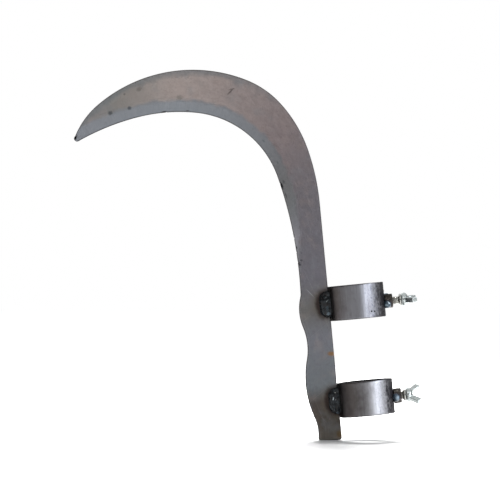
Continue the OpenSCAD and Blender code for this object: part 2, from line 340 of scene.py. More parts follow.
class Graph:
    """A node tree under work, with the steps that the finishes and the studio share."""

    def __init__(self, tree: bpy.types.NodeTree) -> None:
        """Take over a node tree and empty it."""
        self.tree = tree
        tree.nodes.clear()

    def add(self, kind: str, inputs: dict | None = None, stops: Sequence[tuple[float, str]] = (),
            **settings: object) -> bpy.types.Node:
        """Add a node to this tree, as add_node does."""
        return add_node(self.tree, kind, inputs, stops, **settings)

    def sum_up(self, operation: str, *parts: bpy.types.NodeSocket | float) -> bpy.types.NodeSocket:
        """Run one or two numbers or sockets through a sum, such as MULTIPLY."""
        return self.add("ShaderNodeMath", dict(enumerate(parts)), operation=operation).outputs[0]

    def measure(self, place: bpy.types.NodeSocket) -> bpy.types.NodeSocket:
        """Return the socket of a vector's length."""
        return self.add("ShaderNodeVectorMath", {0: place}, operation="LENGTH").outputs["Value"]

    def split(self, place: bpy.types.NodeSocket) -> tuple[bpy.types.NodeSocket, ...]:
        """Return the sockets of a vector's X, Y and Z."""
        return tuple(self.add("ShaderNodeSeparateXYZ", {"Vector": place}).outputs)

    def ramp_up(self, value: bpy.types.NodeSocket, start: float, full: float,
                bottom: float = 0.0, top: float = 1.0) -> bpy.types.NodeSocket:
        """Turn a value into a mask that rises smoothly.

        Args:
            value: The value's socket.
            start: Where the mask leaves its bottom.
            full: Where it comes to its top.
            bottom: The mask at the start.
            top: The mask where it is full.

        Returns:
            The mask's socket.
        """
        return self.add("ShaderNodeMapRange", {
            "Value": value, "From Min": start, "From Max": full, "To Min": bottom, "To Max": top,
        }, interpolation_type="SMOOTHSTEP").outputs["Result"]

    def blend(self, what: Blend, share: bpy.types.NodeSocket, before: object,
              after: object) -> bpy.types.NodeSocket:
        """Mix two colours or two numbers.

        Args:
            what: Which of the two kinds they are.
            share: The share of the second one.
            before: The first one, or its socket.
            after: The second one, or its socket.

        Returns:
            The result's socket.
        """
        kind, first, second, result = what.value
        mixed = self.add("ShaderNodeMix", {0: share, first: before, second: after}, data_type=kind)
        return mixed.outputs[result]

    def both(self, first: bpy.types.NodeSocket | float,
             second: bpy.types.NodeSocket | float) -> bpy.types.NodeSocket:
        """Return the mask that is full where both masks are."""
        return self.sum_up("MULTIPLY", first, second)


class Coat(Graph):
    """A material under work, built up in layers: colour, roughness and height so far."""

    def __init__(self, name: str, colour: str, roughness: float, metallic: float) -> None:
        """Start the material with one colour all over.

        Args:
            name: The material's name.
            colour: The hex colour under all layers.
            roughness: The roughness under all layers.
            metallic: How much of a bare metal it is.
        """
        self.material = bpy.data.materials.new(name)
        self.material.use_nodes = True
        super().__init__(self.material.node_tree)
        start = {"Base Color": srgb(colour), "Roughness": roughness, "Metallic": metallic}
        self.shader = self.add("ShaderNodeBsdfPrincipled", start)
        self.add("ShaderNodeOutputMaterial", {"Surface": self.shader.outputs["BSDF"]})
        self.place = self.add("ShaderNodeTexCoord").outputs["Object"]
        self.heights: list[bpy.types.NodeSocket] = []

    def grain(self, size: tuple[float, float, float] | float, detail: float = 2.0, shift: float = 0.0,
              source: bpy.types.NodeSocket | None = None) -> bpy.types.NodeSocket:
        """Lay an irregular pattern whose patches have a real size.

        Args:
            size: The patches' size in millimetres, along X, Y and Z or the same all ways.
            detail: How much finer pattern lies on the patches.
            shift: Moves the pattern, so that two of one size differ.
            source: What the pattern is laid on, where that isn't the object's own place.

        Returns:
            A value about 0.5, mostly between 0.25 and 0.75.
        """
        sizes = size if isinstance(size, tuple) else (size,) * 3
        laid = self.add("ShaderNodeMapping", {
            "Vector": source or self.place,
            "Location": (shift, shift, shift),
            "Scale": tuple(1 / (s * MM) for s in sizes),
        })
        return self.add("ShaderNodeTexNoise", {
            "Vector": laid.outputs["Vector"], "Scale": 1.0, "Detail": detail, "Roughness": 0.55,
        }).outputs["Fac"]

    def near(self, centre: Vector, radii: tuple[float, float, float], fade: float,
             ragged: float = 0.0, patch: float = 3.0, turn: float = 0.0) -> bpy.types.NodeSocket:
        """Make a mask that is 1 about a place and fades out round it.

        Args:
            centre: The place, in metres.
            radii: How far the mask reaches along X, Y and Z, in millimetres.
            fade: The share of the reach over which it fades.
            ragged: How uneven its border is.
            patch: The size of that unevenness, in millimetres.
            turn: How far the mask is turned about Y, in degrees from X towards Z.

        Returns:
            The mask's socket.
        """
        laid = self.add("ShaderNodeMapping", {
            "Vector": self.place,
            "Location": tuple(centre),
            "Rotation": (0, -math.radians(turn), 0),
            "Scale": tuple(r * MM for r in radii),
        }, vector_type="TEXTURE")
        reach = self.measure(laid.outputs["Vector"])
        if ragged:
            uneven = self.sum_up("MULTIPLY", self.grain(patch, 3.0), ragged)
            reach = self.sum_up("ADD", reach, self.sum_up("SUBTRACT", uneven, ragged / 2))
        return self.ramp_up(reach, 1.0, 1.0 - fade)

    def spread(self, socket: str, what: Blend, value: object, mask: bpy.types.NodeSocket,
               amount: float) -> None:
        """Mix a new value into one of the shader's inputs where a mask is.

        Args:
            socket: The shader's input.
            what: Whether it takes a colour or a number.
            value: The new value, or the socket that gives it.
            mask: Where it goes.
            amount: How much of it where the mask is full.
        """
        entry = self.shader.inputs[socket]
        before = entry.links[0].from_socket if entry.is_linked else entry.default_value
        self.tree.links.new(self.blend(what, self.both(mask, amount), before, value), entry)

    def paint(self, colour: str | bpy.types.NodeSocket, mask: bpy.types.NodeSocket,
              amount: float = 1.0) -> None:
        """Lay a hex colour, or one that a socket gives, over what is there, where the mask is."""
        value = srgb(colour) if isinstance(colour, str) else colour
        self.spread("Base Color", Blend.COLOUR, value, mask, amount)

    def tint(self, tint: Tint, pattern: bpy.types.NodeSocket,
             within: bpy.types.NodeSocket | None = None) -> None:
        """Lay a tint where a pattern brings it out.

        Args:
            tint: The tint.
            pattern: The pattern or the distance that it follows.
            within: A mask that keeps it to a part of the piece.
        """
        mask = self.ramp_up(pattern, tint.start, tint.full)
        self.paint(tint.colour, self.both(mask, within) if within else mask, tint.amount)

    def dull(self, roughness: float, mask: bpy.types.NodeSocket, amount: float = 1.0) -> None:
        """Change the roughness where the mask is."""
        self.spread("Roughness", Blend.NUMBER, roughness, mask, amount)

    def bare(self, metallic: float, mask: bpy.types.NodeSocket, amount: float = 1.0) -> None:
        """Change how metallic the surface is where the mask is."""
        self.spread("Metallic", Blend.NUMBER, metallic, mask, amount)

    def raise_by(self, mask: bpy.types.NodeSocket, depth: float) -> None:
        """Raise the surface by a depth in millimetres where the mask is."""
        self.heights.append(self.sum_up("MULTIPLY", mask, depth))

    def dry(self) -> bpy.types.Material:
        """Close the coat: join the heights into one bump.

        Returns:
            The finished material.
        """
        if self.heights:
            total = self.heights[0]
            for height in self.heights[1:]:
                total = self.sum_up("ADD", total, height)
            bump = self.add("ShaderNodeBump", {"Height": total, "Strength": 1.0, "Distance": MM})
            self.tree.links.new(bump.outputs["Normal"], self.shader.inputs["Normal"])
        return self.material


@dataclass(frozen=True)
class Stain:
    """A mark with its own colour at one place of the surface."""

    centre: Vector
    radii: tuple[float, float, float]
    colour: str
    amount: float = 0.8
    fade: float = 0.6
    ragged: float = 0.5
    patch: float = 3.0
    roughness: float = 0.6
    turn: float = 0.0

    def lay(self, coat: Coat) -> None:
        """Paint the stain on a coat.

        Args:
            coat: The coat that takes it.
        """
        mask = coat.near(self.centre, self.radii, self.fade, self.ragged, self.patch, self.turn)
        coat.paint(self.colour, mask, self.amount)
        coat.dull(self.roughness, mask, self.amount)


@dataclass(frozen=True)
class Mark:
    """A small mark by its place and half sizes in the blade's plane, in millimetres.

    Its lean turns it from X towards Z, in degrees.
    """

    x: float
    z: float
    wide: float
    high: float
    colour: str
    amount: float
    lean: float = 0.0

    def on(self, origin: Vector, like: Stain) -> Stain:
        """Give the mark its place on a piece.

        Args:
            origin: What the mark's place is counted from, in metres.
            like: A stain whose depth, fading and roughness it takes.

        Returns:
            The stain to lay.
        """
        centre = origin + Vector((self.x, 0, self.z)) * MM
        return replace(like, centre=centre, radii=(self.wide, like.radii[1], self.high),
                       colour=self.colour, amount=self.amount, turn=self.lean)


# Hot-rolled sheet steel gives the eye a dull greyish brown that the ground bevel sets off in blue
@dataclass(frozen=True)
class HotRolledSheet:
    """Hot-rolled sheet steel, its mill scale worn thin by handling.

    It gives the eye a dull greyish brown with faint cloudy patches, cooler and darker down the
    tang and lighter towards the hook, which is partly painted light falloff, with fine pits, stray
    scratches and a few rust spots. The bevel is ground bare, so it is bluer, with fine marks across
    the edge, and its tone along the blade is painted reflection.
    """

    roughness: float = 0.42
    metallic: float = 0.85
    # Shares of the way from the foot, past both welds and the heel, to the tip, with the tone there,
    # which is partly painted light falloff: darker down the tang, lighter towards the hook
    along: tuple[tuple[float, str], ...] = (
        (0.00, "#67625a"), (0.04, "#4e4741"), (0.07, "#4c4642"), (0.10, "#6a6e71"),
        (0.19, "#6f7076"), (0.24, "#656462"), (0.30, "#68666c"), (0.45, "#696569"),
        (0.57, "#7d7272"), (0.79, "#a39792"), (0.90, "#85827e"), (1.00, "#8f8a8c"),
    )
    # The bevel's tone along the blade, brighter and darker where its ground face catches the light:
    # painted reflection
    bevel_tone_and_reflection_along: tuple[tuple[float, str], ...] = (
        (0.30, "#818185"), (0.39, "#8f8e94"), (0.45, "#797b7d"), (0.50, "#727273"),
        (0.60, "#7b7e83"), (0.78, "#83888e"), (1.00, "#84878d"),
    )
    # Cloudy scale about the size of a thumb, with smaller mottles
    cloud_size: float = 16.0
    warm_clouds: Tint = Tint("#94857f", 0.50, 0.70, 0.20)
    cool_clouds: Tint = Tint("#70767a", 0.48, 0.30, 0.24)
    mottle_size: float = 4.5
    dark_mottles: Tint = Tint("#4d4a49", 0.55, 0.75, 0.20)
    light_mottles: Tint = Tint("#a09a97", 0.43, 0.26, 0.10)
    mottle_depth: float = 0.05
    # Rolling drew faint streaks along the sheet
    streak_size: tuple[float, float, float] = (70.0, 2.2, 1.0)
    dark_streaks: Tint = Tint("#5a5759", 0.52, 0.72, 0.12)
    light_streaks: Tint = Tint("#a39d9b", 0.46, 0.28, 0.08)
    # The back edge was cut hot, so a narrow cool band runs along it over the hook
    band_colour: str = "#6f7477"
    band_amount: float = 0.65
    band_sway: float = 9.0
    band_ends: tuple[float, float] = (13.0, 6.5)
    hook_ends: tuple[float, float] = (0.55, 0.75)
    # The bevel is bluish bare steel that runs out softly into the face, with marks across the edge
    bevel_amount: float = 0.92
    bevel_roughness: float = 0.36
    bevel_sway: float = 9.0
    bevel_sway_size: float = 11.0
    bevel_softness: float = 2.6
    grind_size: tuple[float, float, float] = (0.5, 14.0, 1.0)
    light_grinding: Tint = Tint("#9fa1a6", 0.54, 0.72, 0.22)
    dark_grinding: Tint = Tint("#5b5d62", 0.46, 0.28, 0.24)
    grind_depth: float = 0.04
    # Fine pits all over, and long stray scratches that cross each other
    pit_size: float = 0.9
    pits: Tint = Tint("#3f3c3b", 0.61, 0.76, 0.28)
    pit_depth: float = 0.05
    scratch_size: tuple[float, float, float] = (60.0, 5.0, 0.45)
    scratch_turns: tuple[tuple[float, float], ...] = ((0.6, 2.0), (-0.9, 9.0), (1.9, 21.0))
    light_scratches: Tint = Tint("#b5b3b2", 0.74, 0.80, 0.22)
    dark_scratches: Tint = Tint("#3a3736", 0.24, 0.19, 0.25)
    # Painted shade: a dark line along the rims, as the shade of their rounded edges
    painted_rim_shade: Tint = Tint("#241f1d", 1.25, 0.35, 0.78)

    def make(self, run: float, marks: Sequence[Stain]) -> bpy.types.Material:
        """Make the blade's material.

        Args:
            run: The blade's length along its middle, in metres.
            marks: The stains of welding, rust and handling, in the order that they are laid.

        Returns:
            The material.
        """
        coat = Coat("hot_rolled_sheet_steel", "#7d7775", self.roughness, self.metallic)
        laid = coat.add("ShaderNodeUVMap", uv_map="along_edge").outputs["UV"]
        share = coat.sum_up("DIVIDE", coat.split(laid)[0], run)
        # The tone along the blade, partly painted light falloff: darker down the tang, lighter towards
        # the hook
        ramp = coat.add("ShaderNodeValToRGB", {"Fac": share}, self.along)
        coat.tree.links.new(ramp.outputs["Color"], coat.shader.inputs["Base Color"])
        rim = coat.add("ShaderNodeAttribute", attribute_name="rim").outputs["Fac"]

        clouds = coat.grain(self.cloud_size, 3.0)
        coat.tint(self.warm_clouds, clouds)
        coat.tint(self.cool_clouds, clouds)
        mottles = coat.grain(self.mottle_size, 4.0, 7.0)
        coat.tint(self.dark_mottles, mottles)
        coat.tint(self.light_mottles, mottles)
        coat.dull(self.roughness + 0.12, coat.ramp_up(mottles, 0.45, 0.65))
        coat.raise_by(mottles, self.mottle_depth)
        streaks = coat.grain(self.streak_size, 2.0, 4.0, laid)
        coat.tint(self.dark_streaks, streaks)
        coat.tint(self.light_streaks, streaks)
        swayed = coat.sum_up("ADD", rim, coat.sum_up("MULTIPLY", clouds, self.band_sway))
        band = coat.both(coat.ramp_up(swayed, *self.band_ends), coat.ramp_up(share, *self.hook_ends))
        coat.paint(self.band_colour, band, self.band_amount)

        self.grind(coat, laid, share)
        pits = coat.grain(self.pit_size, 4.0, 5.0)
        coat.tint(self.pits, pits)
        coat.raise_by(pits, self.pit_depth)
        for turn, shift in self.scratch_turns:
            turned = {"Vector": coat.place, "Axis": (0, 1, 0), "Angle": turn}
            laid_over = coat.add("ShaderNodeVectorRotate", turned).outputs["Vector"]
            hair = coat.grain(self.scratch_size, 1.0, shift, laid_over)
            coat.tint(self.light_scratches, hair)
            coat.tint(self.dark_scratches, hair)
        # Painted shade along the rims
        coat.tint(self.painted_rim_shade, rim)
        coat.dull(0.6, coat.ramp_up(rim, self.painted_rim_shade.start, self.painted_rim_shade.full))
        for mark in marks:
            mark.lay(coat)
        return coat.dry()

    def grind(self, coat: Coat, laid: bpy.types.NodeSocket, share: bpy.types.NodeSocket) -> None:
        """Grind the bevel bare, with painted reflection along it.

        Args:
            coat: The blade's coat.
            laid: The place along and across the blade.
            share: The share of the way from the foot to the tip.
        """
        inside = coat.add("ShaderNodeAttribute", attribute_name="bevel").outputs["Fac"]
        uneven = coat.sum_up("MULTIPLY", coat.grain(self.bevel_sway_size, 3.0, 3.0), self.bevel_sway)
        depth = coat.sum_up("ADD", inside, coat.sum_up("SUBTRACT", uneven, self.bevel_sway / 2))
        ground = coat.ramp_up(depth, -self.bevel_softness, self.bevel_softness)
        # Painted reflection: the bevel's tone rises and falls along the blade
        ramp = coat.add("ShaderNodeValToRGB", {"Fac": share}, self.bevel_tone_and_reflection_along)
        coat.paint(ramp.outputs["Color"], ground, self.bevel_amount)
        lines = coat.grain(self.grind_size, 3.0, 0.0, laid)
        coat.tint(self.light_grinding, lines, ground)
        coat.tint(self.dark_grinding, lines, ground)
        coat.dull(self.bevel_roughness, ground, 0.8)
        coat.bare(1.0, ground)
        coat.raise_by(coat.both(lines, ground), self.grind_depth)


# Drawn tube gives the eye a satin grey with one soft bright band along the tube
@dataclass(frozen=True)
class DrawnTube:
    """Cold-drawn steel tube, sawn to length and left bare.

    It gives the eye a satin grey that throws one soft bright band along the tube, fine lines
    along it from the die, and brown and black on the tang's side that are partly stains where the
    welds heated it and partly painted shade of that dark flank.
    """

    colour: str
    # Weld heat stain and painted shade on the tang's side: brown, then black close to the beads
    brown_heat_and_shade_reach: float
    brown_fade: float
    black_reach: float
    # Soot and scorched scale about the nut
    soot_reach: float
    soot_fade: float
    # Dull scale on the bright side
    fleck_amount: float
    shift: float = 0.0
    roughness: float = 0.33
    metallic: float = 1.0
    # Lines from the die, and clouds that are longer along the tube
    line_size: tuple[float, float, float] = (0.8, 0.8, 45.0)
    dark_lines: Tint = Tint("#605e63", 0.50, 0.68, 0.30)
    light_lines: Tint = Tint("#a5a6ac", 0.48, 0.32, 0.22)
    line_depth: float = 0.02
    cloud_size: tuple[float, float, float] = (9.0, 9.0, 16.0)
    clouds: Tint = Tint("#5a565c", 0.52, 0.72, 0.30)
    speck_size: float = 1.1
    speck_depth: float = 0.06
    # The side towards the bolt is peppered with fine dimples
    bright_reach: float = 27.0
    pepper_size: tuple[float, float, float] = (0.9, 0.9, 1.2)
    pepper: Tint = Tint("#4b4b50", 0.58, 0.70, 0.4)
    pepper_depth: float = 0.12
    fleck_size: tuple[float, float, float] = (1.3, 1.3, 2.6)
    fleck_ends: tuple[float, float] = (0.53, 0.61)
    blotch_size: tuple[float, float, float] = (2.4, 2.4, 4.0)
    blotch_ends: tuple[float, float] = (0.44, 0.56)
    blotch_depth: float = 0.18
    scorch_reach: float = 6.5
    # Every mask about a place on the ring goes all the way up and down it
    all_round: float = 60.0
    bore_start: float = 2.2
    bore_blend: float = 0.6
    rim_ends: tuple[float, float] = (1.2, 0.3)

    def make(self, level: Level, marks: Sequence[Stain]) -> bpy.types.Material:
        """Make the material of one ring.

        Args:
            level: Which ring it is.
            marks: Its stains.

        Returns:
            The material.
        """
        coat = Coat(f"{level.value}_drawn_tube_steel", self.colour, self.roughness, self.metallic)
        lines = coat.grain(self.line_size, 3.0, self.shift)
        coat.tint(self.dark_lines, lines)
        coat.tint(self.light_lines, lines)
        clouds = coat.grain(self.cloud_size, 3.0, self.shift + 3.0)
        coat.tint(self.clouds, clouds)
        coat.dull(0.42, coat.ramp_up(clouds, 0.45, 0.65))
        coat.raise_by(coat.grain(self.speck_size, 4.0, self.shift), self.speck_depth)
        coat.raise_by(lines, self.line_depth)

        middle, radius = middle_of(f"{level.value}_ring"), ring_radius(level)
        tang_side = middle - Vector((radius, 0, 0))
        # Weld heat stain and painted shade of the ring's dark flank on the tang's side
        brown = self.around(tang_side, self.brown_heat_and_shade_reach)
        black = self.around(tang_side, self.black_reach)
        coat.paint("#3b332f", coat.near(*brown, self.brown_fade, 0.25, 7.0), 0.85)
        coat.paint("#1b1819", coat.near(*black, 0.7, 0.3, 5.0), 0.92)
        bolt = Vector((radius, 0, middle_of(f"{level.value}_nut").z))
        bright = self.speckle(coat, bolt)
        self.paint_bore_shade(coat, radius)
        self.scorch(coat, bolt)

        # Painted shade: a dark line along the sawn rims, spared on the bright side towards the bolt
        off = coat.sum_up("ABSOLUTE", coat.sum_up("SUBTRACT", coat.split(coat.place)[2], middle.z))
        start, full = (ring_height(level) / 2 - end * MM for end in self.rim_ends)
        spared = coat.sum_up("SUBTRACT", 1.0, coat.both(bright, 0.75))
        coat.paint("#1f1c1c", coat.both(coat.ramp_up(off, start, full), spared), 0.8)
        for mark in marks:
            mark.lay(coat)
        return coat.dry()

    def around(self, place: Vector, reach: float) -> tuple[Vector, tuple[float, float, float]]:
        """Return the centre and radii of a stain that goes all the way up and down the ring."""
        return place, (reach, self.all_round, self.all_round)

    def speckle(self, coat: Coat, bolt: Vector) -> bpy.types.NodeSocket:
        """Pepper the side towards the bolt with dimples and flecks of dull scale.

        Args:
            coat: The ring's coat.
            bolt: Where the bolt's axis leaves the ring, in metres.

        Returns:
            The mask of that bright side.
        """
        bright = coat.near(*self.around(bolt, self.bright_reach), 0.3, 0.3, 3.0)
        pepper = coat.grain(self.pepper_size, 3.0, self.shift + 12.0)
        coat.tint(self.pepper, pepper, bright)
        coat.raise_by(coat.both(pepper, bright), self.pepper_depth)
        flecks = coat.ramp_up(coat.grain(self.fleck_size, 3.0, self.shift + 31.0), *self.fleck_ends)
        coat.paint("#5c5e68", coat.both(flecks, bright), self.fleck_amount)
        return bright

    def paint_bore_shade(self, coat: Coat, radius: float) -> None:
        """Paint the bore dark: painted shade inside the tube.

        Args:
            coat: The ring's coat.
            radius: The ring's outer radius, in metres.
        """
        across = {0: coat.place, 1: (1.0, 1.0, 0.0)}
        flat = coat.add("ShaderNodeVectorMath", across, operation="MULTIPLY")
        inner = radius - self.bore_start * MM
        bore = coat.ramp_up(coat.measure(flat.outputs[0]), inner, inner - self.bore_blend * MM)
        # Painted shade inside the bore
        coat.paint("#2a2624", bore, 0.92)
        coat.dull(0.65, bore)

    def scorch(self, coat: Coat, bolt: Vector) -> None:
        """Lay soot and blotches of scorched scale about the nut.

        Args:
            coat: The ring's coat.
            bolt: Where the bolt's axis leaves the ring, in metres.
        """
        soot = coat.near(*self.around(bolt, self.soot_reach), self.soot_fade, 0.6, 3.0)
        blotches = coat.ramp_up(coat.grain(self.blotch_size, 4.0, self.shift + 8.0), *self.blotch_ends)
        coat.paint("#4d4b4d", soot, 0.75)
        coat.paint("#1f1e20", coat.both(soot, blotches), 0.85)
        coat.dull(0.6, soot)
        coat.raise_by(coat.both(soot, blotches), self.blotch_depth)
        coat.paint("#242226", coat.near(*self.around(bolt, self.scorch_reach), 0.5, 0.4, 3.0), 0.8)


# Both rings are the same tube; the lower one's lighter colour is painted light, for its brighter
# highlight
TUBES = {
    Level.UPPER: DrawnTube("#7e7e82", brown_heat_and_shade_reach=27.0, brown_fade=0.65, black_reach=9.5,
                           soot_reach=17.0, soot_fade=0.7, fleck_amount=0.8),
    Level.LOWER: DrawnTube("#969699", brown_heat_and_shade_reach=44.0, brown_fade=0.5, black_reach=17.0,
                           soot_reach=12.5, soot_fade=0.45, fleck_amount=0.3, shift=40.0),
}


# Weld scale gives the eye a blue-black gloss
@dataclass(frozen=True)
class WeldScale:
    """Weld metal under a skin of glassy scale, as the arc leaves it.

    It gives the eye a blue-black gloss with fine ripples, brown at its borders.
    """

    colour: str = "#171b1e"
    brown: str = "#1f1816"
    light: str = "#434d54"
    roughness: float = 0.22
    metallic: float = 0.6
    grit: float = 0.018
    brown_amount: float = 0.7
    light_amount: float = 0.12
    pepper_amount: float = 0.35
    patch_size: float = 3.2
    pepper_size: float = 0.8

    def make(self, name: str, marks: Sequence[Stain] = ()) -> bpy.types.Material:
        """Make the material.

        Args:
            name: The material's name.
            marks: Flecks where the scale sprang off and painted highlights, in the order that they are
                laid.

        Returns:
            The material.
        """
        coat = Coat(name, self.colour, self.roughness, self.metallic)
        patches = coat.grain(self.patch_size, 3.0)
        coat.tint(Tint(self.brown, 0.50, 0.66, self.brown_amount), patches)
        coat.tint(Tint(self.light, 0.52, 0.34, self.light_amount), patches)
        pepper = coat.grain(self.pepper_size, 2.0, 4.0)
        coat.tint(Tint("#0f1013", 0.56, 0.72, self.pepper_amount), pepper)
        coat.dull(0.42, coat.ramp_up(pepper, 0.5, 0.7))
        coat.raise_by(pepper, self.grit)
        coat.raise_by(patches, 1.5 * self.grit)
        for mark in marks:
            mark.lay(coat)
        return coat.dry()


# The tacks froze in the open, so their scale is thinner and bluer than the beads'
TACK_SCALE = WeldScale(colour="#2c3843", light="#465561", roughness=0.26, metallic=0.5, grit=0.006,
                       brown_amount=0.15, light_amount=0.4, pepper_amount=0.15)


# A scorched nut gives the eye a dull brown black
@dataclass(frozen=True)
class ScorchedNut:
    """A cold-formed steel nut, its oxide skin scorched by the tacks.

    It gives the eye a dull brown black with lighter and darker patches, and purple next to the tacks.
    """

    colour: str = "#322e2a"
    roughness: float = 0.48
    metallic: float = 0.85
    patch_size: float = 2.2
    light_patches: Tint = Tint("#5a534c", 0.48, 0.64, 0.7)
    dark_patches: Tint = Tint("#1b1917", 0.48, 0.34, 0.6)
    purple_reach: float = 6.0
    black_reach: float = 4.4
    grit_size: float = 0.5
    grit: float = 0.05

    def make(self, level: Level, tack: Vector) -> bpy.types.Material:
        """Make the material of one nut.

        Args:
            level: Which nut it is.
            tack: The middle of the tack that shows beside it, in metres.

        Returns:
            The material.
        """
        coat = Coat(f"{level.value}_scorched_nut_steel", self.colour, self.roughness, self.metallic)
        patches = coat.grain(self.patch_size, 3.0)
        coat.tint(self.light_patches, patches)
        coat.tint(self.dark_patches, patches)
        coat.paint("#4b4552", coat.near(tack, (self.purple_reach,) * 3, 0.7, 0.5, 2.0), 0.7)
        coat.paint("#181a1e", coat.near(tack, (self.black_reach,) * 3, 0.4, 0.3, 2.0), 0.8)
        coat.raise_by(coat.grain(self.grit_size, 3.0), self.grit)
        return coat.dry()


# Zinc gives the eye a bright white metal
@dataclass(frozen=True)
class BrightZinc:
    """Forged steel, zinc plated in a barrel and cleared.

    It gives the eye a bright white metal with a faint green cast, slightly cloudy, with grey
    clouds laid at random.
    """

    colour: str = "#b3b9b8"
    roughness: float = 0.17
    metallic: float = 0.93
    cloud_size: float = 2.6
    clouds: Tint = Tint("#7f8686", 0.50, 0.68, 0.35)
    grit_size: float = 0.5
    grit: float = 0.015
    tarnish_radii: tuple[float, float, float] = (5.0, 12.0, 12.0)

    def make(self, name: str, tarnish: Vector | None = None) -> bpy.types.Material:
        """Make the material.

        Args:
            name: The material's name.
            tarnish: A place about which the plating is burnt dull, in metres, if there is one.

        Returns:
            The material.
        """
        coat = Coat(name, self.colour, self.roughness, self.metallic)
        clouds = coat.grain(self.cloud_size, 3.0)
        coat.tint(self.clouds, clouds)
        coat.dull(0.22, coat.ramp_up(clouds, 0.45, 0.65))
        coat.raise_by(coat.grain(self.grit_size, 3.0), self.grit)
        if tarnish:
            coat.paint("#77716a", coat.near(tarnish, self.tarnish_radii, 0.8, 0.3, 2.0), 0.6)
            coat.dull(0.45, coat.near(tarnish, self.tarnish_radii, 0.8))
        return coat.dry()


def ring_radius(level: Level) -> float:
    """Return the outer radius of a ring, from its solid."""
    low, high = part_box(f"{level.value}_ring")
    return (high.x - low.x) / 2


def ring_height(level: Level) -> float:
    """Return the height of a ring, from its solid."""
    low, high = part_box(f"{level.value}_ring")
    return high.z - low.z


def middle_of(node: str) -> Vector:
    """Return the middle of a solid's box."""
    low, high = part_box(node)
    return (low + high) / 2


@dataclass(frozen=True)
class Arc:
    """A tangent arc of an edge, or a straight stretch where the radius is 0."""

    radius: float
    turn: float

    def length(self) -> float:
        """Return the arc's length. A straight stretch gives it in place of its turn in degrees."""
        return self.radius * math.radians(abs(self.turn)) if self.radius else self.turn

    def follow(self, point: Vector, heading: float, reach: float) -> tuple[Vector, float]:
        """Go along the arc from its start.

        Args:
            point: Where the arc starts.
            heading: The direction there, in radians from X.
            reach: How far to go.

        Returns:
            The point reached and the heading there.
        """
        if not self.radius:
            return point + reach * Vector((math.cos(heading), math.sin(heading))), heading
        side = math.copysign(self.radius, self.turn)
        centre = point + side * Vector((-math.sin(heading), math.cos(heading)))
        now = heading + reach / side
        return centre + side * Vector((math.sin(now), -math.cos(now))), now


@dataclass(frozen=True)
class Edge:
    """An edge of the blade in its plane: a chain of tangent arcs. Left turns are positive."""

    start: Vector
    heading: float
    arcs: tuple[Arc, ...]

    def length(self) -> float:
        """Return the length of the whole chain."""
        return sum(arc.length() for arc in self.arcs)

    def at(self, reach: float) -> tuple[Vector, float]:
        """Go along the chain from its start.

        Args:
            reach: How far to go, in millimetres.

        Returns:
            The point reached and the heading there.
        """
        point, heading = self.start, self.heading
        for arc in self.arcs[:-1]:
            if reach <= arc.length():
                return arc.follow(point, heading, reach)
            point, heading = arc.follow(point, heading, arc.length())
            reach -= arc.length()
        return self.arcs[-1].follow(point, heading, reach)


@dataclass(frozen=True)
class Cut:
    """One cut across the blade."""

    front: Vector
    back: Vector
    ground: float
    above_foot: float
    run: float = 0.0

    def width(self) -> float:
        """Return the distance from the front edge to the back edge."""
        return (self.back - self.front).length


